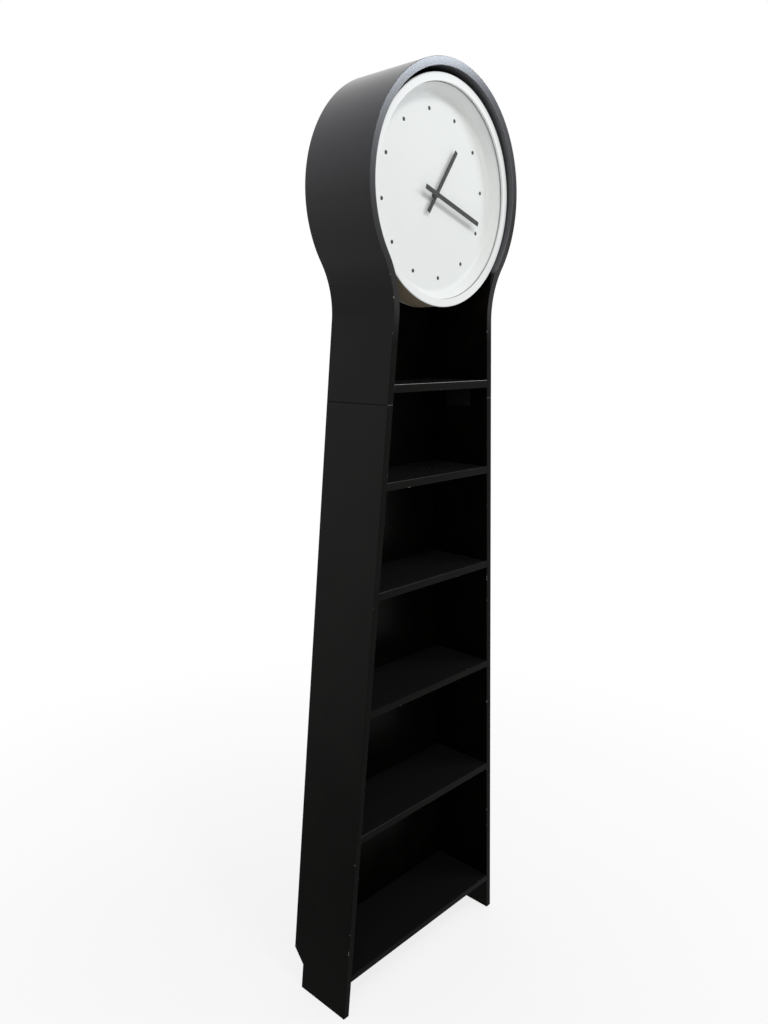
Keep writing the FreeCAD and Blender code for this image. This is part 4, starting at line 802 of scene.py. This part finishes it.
@cache
def setting_tree():
    """Sets a copy of one small piece on every point, turned to the point's facing."""
    net, inputs = new_tree("set_pieces", ("Piece", "NodeSocketObject"), ("Material", "NodeSocketMaterial"))
    piece = net.node("GeometryNodeObjectInfo", {"Object": inputs["Piece"], "As Instance": True},
                     output="Geometry", transform_space="ORIGINAL")
    facing = net.node("GeometryNodeInputNamedAttribute", {"Name": "facing"}, data_type="FLOAT_VECTOR")
    turn = net.node("FunctionNodeAlignRotationToVector", {"Vector": facing}, axis="Z")
    spread = net.node("GeometryNodeInstanceOnPoints", {"Points": inputs["Geometry"], "Instance": piece,
                                                       "Rotation": turn})
    return end_tree(net, spread, inputs["Material"])


def through_tree(item, tree, **values):
    """Run an object through a tree with its inputs set, and keep the result as its mesh."""
    modifier = item.modifiers.new(tree.name, "NODES")
    modifier.node_group = tree
    for socket in tree.interface.items_tree:
        if socket.item_type == "SOCKET" and socket.in_out == "INPUT" and socket.name in values:
            modifier[socket.identifier] = values[socket.name]
    item.update_tag()
    return apply_modifiers(item)


def turned(name, profile, slot, steps=None, centre=None):
    """A closed profile of (radius, depth) points turned about the dial's axis, or about another centre."""
    steps = steps or bpy.context.scene.floor_clock_clock.steps
    centre = Vector((0, 0, CLOCK_HEIGHT)) if centre is None else centre
    bm = bmesh.new()
    for radius, depth in (*profile, profile[0]):
        bm.verts.new((radius, depth, 0))
    item = linked(name, bm, finish_of(slot))
    through_tree(item, turning_tree(), Steps=steps, Material=finish_of(slot))
    bm = bmesh.new()
    bm.from_mesh(item.data)
    bmesh.ops.remove_doubles(bm, verts=bm.verts, dist=0.0005 * MM)
    bmesh.ops.dissolve_degenerate(bm, dist=0.0001 * MM, edges=bm.edges)
    bmesh.ops.recalc_face_normals(bm, faces=bm.faces)
    bmesh.ops.translate(bm, verts=bm.verts, vec=centre)
    bm.to_mesh(item.data)
    bm.free()
    return even_shading(item)


def small_turned(name, profile, slot):
    """A small turned piece to copy, which faces along Z with its seat at the origin."""
    item = turned(name, profile, slot, 36, Vector())
    item.data.transform(Matrix.Rotation(math.pi / 2, 4, "X"))
    return item


def rounded(corners, steps=4):
    """The points of an outline whose corners (a, b, radius) are rounded."""
    points = []
    count = len(corners)
    for index, (first, second, radius) in enumerate(corners):
        here = Vector((first, second))
        if not radius:
            points.append(tuple(here))
            continue
        before = (Vector(corners[index - 1][:2]) - here).normalized()
        after = (Vector(corners[(index + 1) % count][:2]) - here).normalized()
        half = before.angle(after) / 2
        centre = here + (before + after).normalized() * radius / math.sin(half)
        start = (here + before * radius / math.tan(half) - centre).normalized()
        end = (here + after * radius / math.tan(half) - centre).normalized()
        for step in range(steps + 1):
            points.append(tuple(centre + start.slerp(end, step / steps).normalized() * radius))
    return points


def set_on(name, places, template, slot):
    """Copies of a template on every place, each a point and a facing, as one mesh."""
    mesh = bpy.data.meshes.new(name)
    mesh.from_pydata([tuple(point) for point, facing in places], [], [])
    facings = mesh.attributes.new("facing", "FLOAT_VECTOR", "POINT")
    facings.data.foreach_set("vector", [part for point, facing in places for part in facing])
    item = bpy.data.objects.new(name, mesh)
    bpy.context.scene.collection.objects.link(item)
    through_tree(item, setting_tree(), Piece=template, Material=finish_of(slot))
    discard(template)
    return even_shading(item)


def screw(name, head_radius, head_height, shank_radius, length, sunk):
    """A screw that faces along Z with its seat at the origin, and a cross recess in its head."""
    if sunk:
        outline = [(0, 0), (head_radius - 0.1 * MM, 0), (head_radius, -0.1 * MM),
                   (shank_radius, -head_height)]
    else:
        outline = [(0, head_height)]
        for angle in map(math.radians, (25, 50, 72)):
            outline.append((head_radius * 0.92 * math.sin(angle),
                            head_height * (0.55 + 0.45 * math.cos(angle))))
        outline += [(head_radius, head_height * 0.45), (head_radius, 0), (shank_radius, 0)]
    outline += [(shank_radius, shank_radius * 2 - length), (0, -length)]
    bm = bmesh.new()
    steps = 20
    rings = []
    for radius, height in outline:
        turns = [2 * math.pi * step / steps for step in range(steps if radius else 1)]
        rings.append([bm.verts.new((radius * math.cos(turn), radius * math.sin(turn), height))
                      for turn in turns])
    for ring, after in zip(rings, rings[1:]):
        for step in range(steps):
            corners = [ring[step % len(ring)], ring[(step + 1) % len(ring)],
                       after[(step + 1) % len(after)], after[step % len(after)]]
            bm.faces.new(list(dict.fromkeys(corners)))
    bmesh.ops.recalc_face_normals(bm, faces=bm.faces)
    top = 0 if sunk else head_height
    reach, half_wide, deep = head_radius * 0.62, head_radius * 0.17, min(head_height, 1.6 * MM) * 0.7
    return cross_cut(linked(name, bm), top, reach, half_wide, deep)


def cross_cut(item, top, reach, half_wide, deep):
    """Cut a tapering cross recess into the end that faces along Z."""
    bm = bmesh.new()
    for crosswise in (False, True):
        sections = []
        for height, share in ((top + deep, 1.0), (top - deep, 0.55)):
            long, wide = reach * share, half_wide * (0.7 + 0.3 * share)
            a, b = (wide, long) if crosswise else (long, wide)
            sections.append([(-a, -b, height), (a, -b, height), (a, b, height), (-a, b, height)])
        loft(sections, bm)
    return cut(item, bm)


# Outline of the case
def lean():
    look = bpy.context.scene.floor_clock_case
    return (SIDE_REACH - look.seam_half_width) / SEAM_HEIGHT


def outer_half_width(height):
    return SIDE_REACH - lean() * height


def head_line():
    """The head's right outer face from the seam to the top, each point with its inward direction."""
    look = bpy.context.scene.floor_clock_case
    step_angle = math.radians(2.5)
    slope = math.atan(lean())
    normal = Vector((math.cos(slope), math.sin(slope)))
    along = Vector((-math.sin(slope), math.cos(slope)))
    foot = Vector((SIDE_REACH, 0))
    hub = Vector((0, RING_HEIGHT))
    flare = look.neck_radius
    reach = math.sqrt((RING_RADIUS + flare) ** 2 - (flare - (hub - foot).dot(normal)) ** 2)
    bend = foot + normal * flare + along * ((hub - foot).dot(along) - reach)
    meeting = bend + (hub - bend).normalized() * flare
    line = [(Vector((look.seam_half_width, SEAM_HEIGHT)), Vector((-1 / math.cos(slope), 0)))]
    first = math.atan2(-normal.y, -normal.x) % (2 * math.pi)
    last = math.atan2(meeting.y - bend.y, meeting.x - bend.x) % (2 * math.pi)
    count = max(2, round(abs(last - first) / step_angle))
    for step in range(count):
        angle = first + (last - first) * step / count
        out = Vector((math.cos(angle), math.sin(angle)))
        line.append((bend + out * flare, out))
    start = math.atan2(meeting.y - hub.y, meeting.x)
    count = max(2, round((math.pi / 2 - start) / step_angle))
    for step in range(count + 1):
        angle = start + (math.pi / 2 - start) * step / count
        out = Vector((math.cos(angle), math.sin(angle)))
        line.append((hub + out * RING_RADIUS, -out))
    return line


def mirrored_line(line):
    """The whole line from the left seam over the top to the right seam."""
    left = [(Vector((-point.x, point.y)), Vector((-inward.x, inward.y))) for point, inward in line]
    return left + line[-2::-1]


class FLOORCLOCK_OT_head(bpy.types.Operator):
    """Bend the head's board through both cheeks and round the ring"""

    bl_idname = "floor_clock.head"
    bl_label = "Head shell"

    def execute(self, context):
        look = context.scene.floor_clock_case
        step = CASE_REAR - look.rebate_depth
        section = ((0, CASE_FRONT), (look.board, CASE_FRONT), (look.board, step),
                   (look.board - look.rebate_width, step), (look.board - look.rebate_width, CASE_REAR),
                   (0, CASE_REAR))
        sections = []
        for point, inward in mirrored_line(head_line()):
            sections.append([(point.x + inward.x * inset, depth, point.y + inward.y * inset)
                             for inset, depth in section])
        bm = loft(sections)
        round_arrises(bm, look.arris)
        item = even_shading(linked("head_shell_dressed", bm, finish_of("case_paint")))
        finished(item, "case", "case_paint", "head_shell")
        return {"FINISHED"}


class FLOORCLOCK_OT_sides(bpy.types.Operator):
    """Shape the two leaning side panels with their rebates and cut feet"""

    bl_idname = "floor_clock.sides"
    bl_label = "Side panels"

    def execute(self, context):
        look = context.scene.floor_clock_case
        tilt = math.sqrt(1 + lean() ** 2)
        wall, thin = look.board * tilt, (look.board - look.rebate_width) * tilt
        step = CASE_REAR - look.rebate_depth
        heel = CASE_REAR - look.notch_depth
        low = look.notch_height - look.notch_depth
        middle = low + step - heel
        points = {
            "toe": (CASE_FRONT, 0), "heel": (heel, 0), "ankle": (heel, low), "crook": (step, middle),
            "calf": (CASE_REAR, look.notch_height), "rear": (CASE_REAR, SEAM_HEIGHT),
            "step": (step, SEAM_HEIGHT), "front": (CASE_FRONT, SEAM_HEIGHT),
        }
        faces = (
            (("toe heel ankle calf rear front", 0),),
            (("toe heel ankle crook step front", wall),),
            (("crook calf rear step", thin),),
            (("crook", wall), ("crook step", thin), ("step", wall)),
            (("toe", 0), ("toe front", wall), ("front", 0)),
            (("toe heel", 0), ("heel toe", wall)),
            (("heel ankle", 0), ("ankle heel", wall)),
            (("ankle calf", 0), ("calf crook", thin), ("crook ankle", wall)),
            (("calf rear", 0), ("rear calf", thin)),
            (("front", 0), ("front step", wall), ("step rear", thin), ("rear", 0)),
        )
        for side, name in ((-1, "left"), (1, "right")):
            bm = bmesh.new()
            verts = {}
            for face in faces:
                corners = [(point, inset) for chain, inset in face for point in chain.split()]
                for point, inset in corners:
                    if (point, inset) not in verts:
                        depth, height = points[point]
                        across = side * (outer_half_width(height) - inset)
                        verts[point, inset] = bm.verts.new((across, depth, height))
                bm.faces.new([verts[corner] for corner in corners])
            bmesh.ops.recalc_face_normals(bm, faces=bm.faces)
            round_arrises(bm, look.arris)
            item = even_shading(linked(f"{name}_side_dressed", bm, finish_of("case_paint_z")))
            finished(item, "case", "case_paint", f"{name}_side_panel")
        return {"FINISHED"}


class FLOORCLOCK_OT_shelves(bpy.types.Operator):
    """Cut the six shelves to the lean of the sides and bore them for the cams"""

    bl_idname = "floor_clock.shelves"
    bl_label = "Shelves"

    def execute(self, context):
        look = context.scene.floor_clock_case
        cams = end_faces("cam_locks", (0, 0, -1))
        wall = look.board * math.sqrt(1 + lean() ** 2)
        cam_radius, cam_depth, overrun = 7.55 * MM, 13 * MM, MM
        for number in range(1, 7):
            low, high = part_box(f"shelf_{number}")
            wide, narrow = (outer_half_width(height) - wall for height in (low.z, high.z))
            bm = upright_board([(-wide, low.z), (wide, low.z), (narrow, high.z), (-narrow, high.z)],
                               low.y, high.y)

            # Strength of the pale line along this shelf's upper front edge
            def worn(point):
                front = point.y < low.y + 2 * look.arris and point.z > high.z - 2 * look.arris
                return SHELF_PALE_LINE.get(number, (0, 0))[point.x > 0] * front

            round_arrises(bm, look.arris, worn=worn)
            item = linked(f"shelf_{number}_dressed", bm, finish_of("case_paint_x"))
            bored(item, [(point - Vector((0, 0, overrun)), (0, 0, 1), cam_depth + overrun, cam_radius)
                         for point, facing in cams if abs(point.z - low.z) < 2 * MM])
            finished(even_shading(item), "case", "case_paint", f"shelf_{number}")
        return {"FINISHED"}


class FLOORCLOCK_OT_backs(bpy.types.Operator):
    """Cut the two back panels and bore them for their screws and the hanger"""

    bl_idname = "floor_clock.backs"
    bl_label = "Back panels"

    def execute(self, context):
        look = context.scene.floor_clock_case
        rear = BACK_HIGH.y
        inset = (look.board - look.rebate_width) * math.sqrt(1 + lean() ** 2) + look.back_gap
        low, high = BACK_LOW.z, BACK_HIGH.z
        wide, narrow = outer_half_width(low) - inset, outer_half_width(high) - inset
        lower = upright_board([(-wide, low), (wide, low), (narrow, high), (-narrow, high)], BACK_LOW.y, rear)
        step = look.board - look.rebate_width + look.back_gap
        outline = [(point + inward * step)[:] for point, inward in mirrored_line(head_line())]
        head = upright_board(outline, HEAD_BACK_FRONT, rear)
        hanger_low, hanger_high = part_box("wall_hanger")
        window_reach, window_radius = 10 * MM, 14 * MM
        bore_depth, bore_radius, overrun = 2.2 * MM, 3.6 * MM, MM
        window = ((0, rear - window_reach, (hanger_low.z + hanger_high.z) / 2), (0, 1, 0),
                  window_reach + 2 * overrun, window_radius)
        for name, bm, more in (("lower_back", lower, []), ("head_back", head, [window])):
            round_arrises(bm, look.arris / 2)
            item = linked(f"{name}_dressed", bm, finish_of("case_paint_z"))
            rods = [(point + Vector((0, overrun, 0)), (0, -1, 0), bore_depth + overrun, bore_radius)
                    for point, facing in end_faces(f"{name}_screws", (0, 1, 0))]
            bored(item, rods + more)
            finished(even_shading(item), "case", "case_paint", f"{name}_panel")
        return {"FINISHED"}


class FLOORCLOCK_OT_housing(bpy.types.Operator):
    """Turn the clock's drum with its rim and cove, its lens and its dial"""

    bl_idname = "floor_clock.housing"
    bl_label = "Drum, lens and dial"

    def execute(self, context):
        look = context.scene.floor_clock_clock
        front, radius = CLOCK_FRONT, CLOCK_RADIUS
        lens_radius = (LENS_HIGH.x - LENS_LOW.x) / 2
        dial_radius = (DIAL_HIGH.x - DIAL_LOW.x) / 2
        rim = radius + look.rim_lip
        opening = rim - look.rim_width
        lip_rear, inner_front = front + look.lip_depth, front + look.rim_depth
        inner_wall = radius - look.wall
        ledge = lens_radius - look.lens_ledge
        seat = ledge + 3.2 * MM
        bend = ledge - look.cove_width
        sweep_share = 0.59
        foot = bend - look.cove_round * sweep_share
        foot_front = DIAL_LOW.y - 3.5 * MM
        brink = DIAL_LOW.y - 0.1 * MM
        flange = dial_radius + 2 * MM
        edge = opening + 0.1 * MM
        # Painted shade: a dark ring at the lens's edge, for the shadow in the gap there
        shade_ring, shade_ring_front = edge - look.shade_ring, LENS_LOW.y - 0.5 * MM
        hole = 5.2 * MM
        # Slot, replaced nodes, steps of each arc, and corners: radius, depth, arc in millimetres
        profiles = {
            "clock_drum_dressed": ("drum_plastic", ["clock_housing"], 6, [
                (ledge, LENS_HIGH.y, 0.15), (seat, LENS_HIGH.y, 0), (seat, LENS_LOW.y, 0),
                (opening, LENS_LOW.y, 0.1), (opening, front, 0.6), (rim, front, look.rim_round / MM),
                (rim, lip_rear, 0.5), (radius, lip_rear, 0), (radius, COVER_FRONT, 0.3),
                (inner_wall, COVER_FRONT, 0.3), (inner_wall, inner_front, 1),
                (ledge + 4 * MM, inner_front, 0.5), (bend + 6 * MM, foot_front, 0.5),
                (flange, foot_front, 0.3), (flange, DIAL_LOW.y, 0.3), (foot, DIAL_LOW.y, 0),
                (foot, brink, 0), (bend, brink, look.cove_round / MM)]),
            "clock_lens_dressed": ("lens_glass", ["clock_lens"], 4, [
                (0, LENS_LOW.y, 0), (lens_radius, LENS_LOW.y, 0.4), (lens_radius, LENS_HIGH.y, 0.4),
                (0, LENS_HIGH.y, 0)]),
            # A dark ring at the lens's edge as painted shade, for the shadow in the gap there
            "lens_bead": ("rubber", [], 2, [
                (shade_ring, shade_ring_front, 0.2), (edge, shade_ring_front, 0.1), (edge, LENS_LOW.y, 0),
                (shade_ring, LENS_LOW.y, 0)]),
            "dial_dressed": ("dial_paint", ["dial"], 4, [
                (hole, DIAL_LOW.y, 0.2), (dial_radius, DIAL_LOW.y, 0.2), (dial_radius, DIAL_HIGH.y, 0.2),
                (hole, DIAL_HIGH.y, 0.2)]),
        }
        for name, (slot, replaced, steps, corners) in profiles.items():
            outline = rounded([(out, depth, arc * MM) for out, depth, arc in corners], steps)
            finished(turned(name, outline, slot), "clock_unit", slot, *replaced)
        return {"FINISHED"}


class FLOORCLOCK_OT_markers(bpy.types.Operator):
    """Set the twelve domed dots on the dial"""

    bl_idname = "floor_clock.markers"
    bl_label = "Hour dots"

    def execute(self, context):
        look = context.scene.floor_clock_clock
        places = end_faces("hour_markers", (0, -1, 0))
        low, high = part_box("hour_markers")
        radius, foot = look.dot_radius, low.y - high.y
        dot = small_turned("dot", rounded([
            (0, 0, 0), (radius * 0.55, -0.01 * MM, 0), (radius, -look.dome, 0.1 * MM),
            (radius, foot, 0.05 * MM), (0, foot, 0)], 3), "marker_plastic")
        finished(set_on("hour_dots", places, dot, "marker_plastic"), "clock_unit", "marker_plastic",
                 "hour_markers")
        return {"FINISHED"}


class FLOORCLOCK_OT_hands(bpy.types.Operator):
    """Shape the two straight hands"""

    bl_idname = "floor_clock.hands"
    bl_label = "Hands"

    def execute(self, context):
        look = context.scene.floor_clock_clock
        boss, half = look.hand_boss, look.hand_half
        start = math.asin(half / boss)
        for name, (turn, tail_share) in HANDS.items():
            low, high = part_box(f"{name}_hand")
            reach, tail = hand_reach(name, turn)
            side = [(half, -tail * tail_share)]
            for step in range(9):
                angle = start + step / 8 * (math.pi - 2 * start)
                side.append((boss * math.sin(angle), -boss * math.cos(angle)))
            side.append((half, reach * HAND_REACH_SHARE))
            outline = side + [(-x, z) for x, z in reversed(side)]
            bm = upright_board(outline, low.y, high.y)
            round_arrises(bm, 0.25 * MM, 2)
            bmesh.ops.rotate(bm, verts=bm.verts, matrix=Matrix.Rotation(turn, 3, "Y"))
            bmesh.ops.translate(bm, verts=bm.verts, vec=(0, 0, CLOCK_HEIGHT))
            item = even_shading(linked(f"{name}_hand_dressed", bm, finish_of("hand_paint")))
            finished(item, name, "hand_paint", f"{name}_hand")
        return {"FINISHED"}


def hand_reach(name, turn):
    """A hand's reach and tail beyond the axis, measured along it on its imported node."""
    along = Vector((math.sin(turn), 0, math.cos(turn)))
    centre = Vector((0, 0, CLOCK_HEIGHT))
    values = [(vert.co - centre).dot(along) for vert in NODES[f"{name}_hand"].data.vertices]
    return max(values), -min(values)


class FLOORCLOCK_OT_screws(bpy.types.Operator):
    """Set every screw and cam with its cross recess"""

    bl_idname = "floor_clock.screws"
    bl_label = "Screws and cams"

    def execute(self, context):
        slope = math.atan(lean())

        def inward(centre):
            side = 1 if centre.x > 0 else -1
            return (-side * math.cos(slope), 0, -math.sin(slope))

        # Facing; head radius, head height, shank radius and length in millimetres; sunk; body; finish
        board_screw, to_rear = (3.5, 2, 1.75), (0, 1, 0)
        rows = {
            "lower_back_screws": (to_rear, *board_screw, 26, True, "case", "zinc_steel"),
            "head_back_screws": (to_rear, *board_screw, 26, True, "case", "zinc_steel"),
            "hanger_screws": (to_rear, *board_screw, 7, True, "case", "zinc_steel"),
            "seam_screws": (inward, 3.5, 1.6, 1.75, 14, False, "case", "blacked_steel"),
            "cover_screws": (to_rear, 2.8, 1.6, 1.3, 11, False, "clock_unit", "zinc_steel"),
            "dial_screws": (to_rear, 2.4, 1.6, 1.1, 4.2, False, "clock_unit", "zinc_steel"),
        }
        for node, (facing, head, tall, shank, length, sunk, body, finish) in rows.items():
            places = end_faces(node, facing)
            if not sunk:
                places = [(point - Vector(axis) * tall * MM, axis) for point, axis in places]
            template = screw(f"{node}_template", head * MM, tall * MM, shank * MM, length * MM, sunk)
            finished(set_on(f"{node}_set", places, template, finish), body, "zinc_steel", node)
        # Half of a cam's section: radius, height and arc in millimetres
        outline = [(0, 0, 0), (5.6, 0, 0), (5.9, -0.35, 0), (6.6, -0.35, 0), (6.8, 0, 0), (7.5, 0, 0.2),
                   (7.5, -12.5, 0.2), (0, -12.5, 0)]
        corners = [[part * MM for part in corner] for corner in outline]
        template = small_turned("cam_template", rounded(corners), "cam_zinc")
        cross_cut(template, 0, 4.2 * MM, 1.1 * MM, 2.5 * MM)
        places = end_faces("cam_locks", (0, 0, -1))
        finished(set_on("cam_locks_set", places, template, "cam_zinc"), "case", "cam_zinc", "cam_locks")
        return {"FINISHED"}


class FLOORCLOCK_OT_clockwork(bpy.types.Operator):
    """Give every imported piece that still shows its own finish"""

    bl_idname = "floor_clock.clockwork"
    bl_label = "Clockwork and fittings"

    def execute(self, context):
        slots = {row["node"]: row["material_slot"] for row in frame["record"]["subparts"]}
        slots.update(dict.fromkeys(BLACKED, "blacked_steel"))
        for name, node in NODES.items():
            finish = finish_of(slots[name])
            for holder in node.material_slots:
                holder.material = finish
        return {"FINISHED"}


class FLOORCLOCK_OT_stage(bpy.types.Operator):
    """Lay the floor and set the lights and the camera"""

    bl_idname = "floor_clock.stage"
    bl_label = "Floor, lights and camera"

    def execute(self, context):
        look = context.scene.floor_clock_stage
        context.scene.view_settings.view_transform = "Standard"
        bm = bmesh.new()
        bmesh.ops.create_grid(bm, x_segments=8, y_segments=8, size=12)
        floor = linked("floor", bm, floor_finish(look))
        floor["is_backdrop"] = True
        white_world(context.scene, look)
        for name, power in (("window_lamp", look.key_power), ("strip_lamp", look.gleam_power)):
            soft_lamp(context.scene, name, power, **LAMPS[name])
        view = bpy.data.cameras.new("camera")
        view.lens = look.focal
        view.sensor_width = 36
        view.shift_x, view.shift_y = look.shift
        camera = bpy.data.objects.new("camera", view)
        ahead = Vector((math.sin(look.yaw) * math.cos(look.pitch), math.cos(look.yaw) * math.cos(look.pitch),
                        -math.sin(look.pitch)))
        right = Vector((math.cos(look.yaw), -math.sin(look.yaw), 0))
        up = right.cross(ahead)
        camera.matrix_world = Matrix.Translation(look.camera_place) @ Matrix(
            (right, up, -ahead)).transposed().to_4x4()
        context.scene.collection.objects.link(camera)
        context.scene.camera = camera
        return {"FINISHED"}


def soft_lamp(scene, name, power, azimuth, elevation, distance, width, height, colour):
    """A lamp, unseen by the camera, that faces the dial from a direction."""
    azimuth, elevation = math.radians(azimuth), math.radians(elevation)
    away = Vector((math.sin(azimuth) * math.cos(elevation), -math.cos(azimuth) * math.cos(elevation),
                   math.sin(elevation)))
    data = bpy.data.lights.new(name, "AREA")
    data.shape = "RECTANGLE"
    data.size, data.size_y = width, height
    data.energy = power
    data.color = colour
    lamp = bpy.data.objects.new(name, data)
    lamp.location = Vector((0, CASE_FRONT, CLOCK_HEIGHT)) + away * distance
    lamp.rotation_euler = (-away).to_track_quat("-Z", "Y").to_euler()
    lamp.visible_camera = False
    scene.collection.objects.link(lamp)


def seen_ray(net):
    """One for the rays that show the background: those of the camera, of gloss and of glass."""
    path = net.add("ShaderNodeLightPath")
    camera, gloss, glass = (Field(net, path.outputs[f"Is {kind} Ray"])
                            for kind in ("Camera", "Glossy", "Transmission"))
    return camera.larger(gloss).larger(glass)


def floor_finish(look):
    """Pale floor that fades to white, with the soft shadow of the object."""
    paint = Paint("floor_paint", Specular_IOR_Level=0.0)
    clouds = paint.noise(2.0, 3.0)
    paint.finish(paint.tones(clouds, 0.99, 1.0, look.floor), 0.9)
    glow = paint.add("ShaderNodeEmission", {"Color": (1, 1, 1, 1), "Strength": 1.0})
    distance = paint.node("ShaderNodeVectorMath", {0: paint.place()}, output="Value", operation="LENGTH")
    white = 1 - look.shadow + distance.ease(*look.fade) * look.shadow
    shown = paint.add("ShaderNodeMixShader", {0: seen_ray(paint) * white})
    paint.tree.links.new(paint.shader.outputs[0], shown.inputs[1])
    paint.tree.links.new(glow.outputs[0], shown.inputs[2])
    paint.tree.links.new(shown.outputs[0], paint.out.inputs["Surface"])
    return paint.material


def white_world(scene, look):
    """Even light from all round, and white where the background itself is seen."""
    scene.world = bpy.data.worlds.new("studio")
    scene.world.use_nodes = True
    net = Net(scene.world.node_tree)
    net.tree.nodes.clear()
    seen = seen_ray(net)
    light = seen * (1.0 - look.fill) + look.fill
    ground = net.add("ShaderNodeBackground", {"Color": (1, 1, 1, 1), "Strength": light})
    out = net.add("ShaderNodeOutputWorld")
    net.tree.links.new(ground.outputs[0], out.inputs["Surface"])


OPERATORS = (
    FLOORCLOCK_OT_head, FLOORCLOCK_OT_sides, FLOORCLOCK_OT_shelves, FLOORCLOCK_OT_backs,
    FLOORCLOCK_OT_housing, FLOORCLOCK_OT_markers, FLOORCLOCK_OT_hands, FLOORCLOCK_OT_screws,
    FLOORCLOCK_OT_clockwork, FLOORCLOCK_OT_stage,
)


class FLOORCLOCK_PT_panel(bpy.types.Panel):
    """Sizes, colours and pieces of the floor clock"""

    bl_idname = "FLOORCLOCK_PT_panel"
    bl_label = "Floor Clock"
    bl_space_type = "VIEW_3D"
    bl_region_type = "UI"
    bl_category = "Floor Clock"

    def draw(self, context):
        for group in ("floor_clock_case", "floor_clock_clock", "floor_clock_stage"):
            look = getattr(context.scene, group)
            column = self.layout.box().column(align=True)
            for name in look.__annotations__:
                column.prop(look, name)
        for operator in OPERATORS:
            self.layout.operator(operator.bl_idname)


GROUPS = {
    "floor_clock_case": FLOORCLOCK_PG_case,
    "floor_clock_clock": FLOORCLOCK_PG_clock,
    "floor_clock_stage": FLOORCLOCK_PG_stage,
}


def register():
    for item in (*GROUPS.values(), *OPERATORS, FLOORCLOCK_PT_panel):
        bpy.utils.register_class(item)
    for name, group in GROUPS.items():
        setattr(bpy.types.Scene, name, PointerProperty(type=group))


def unregister():
    for name in GROUPS:
        delattr(bpy.types.Scene, name)
    for item in (FLOORCLOCK_PT_panel, *reversed(OPERATORS), *reversed(GROUPS.values())):
        bpy.utils.unregister_class(item)


def main():
    register()
    for operator in OPERATORS:
        family, name = operator.bl_idname.split(".")
        getattr(getattr(bpy.ops, family), name)()
    boxes = {"cad": CAD_BOX, "visual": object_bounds()}
    {name: [list(corner) for corner in box] for name, box in boxes.items()}


if __name__ == "__main__":
    main()
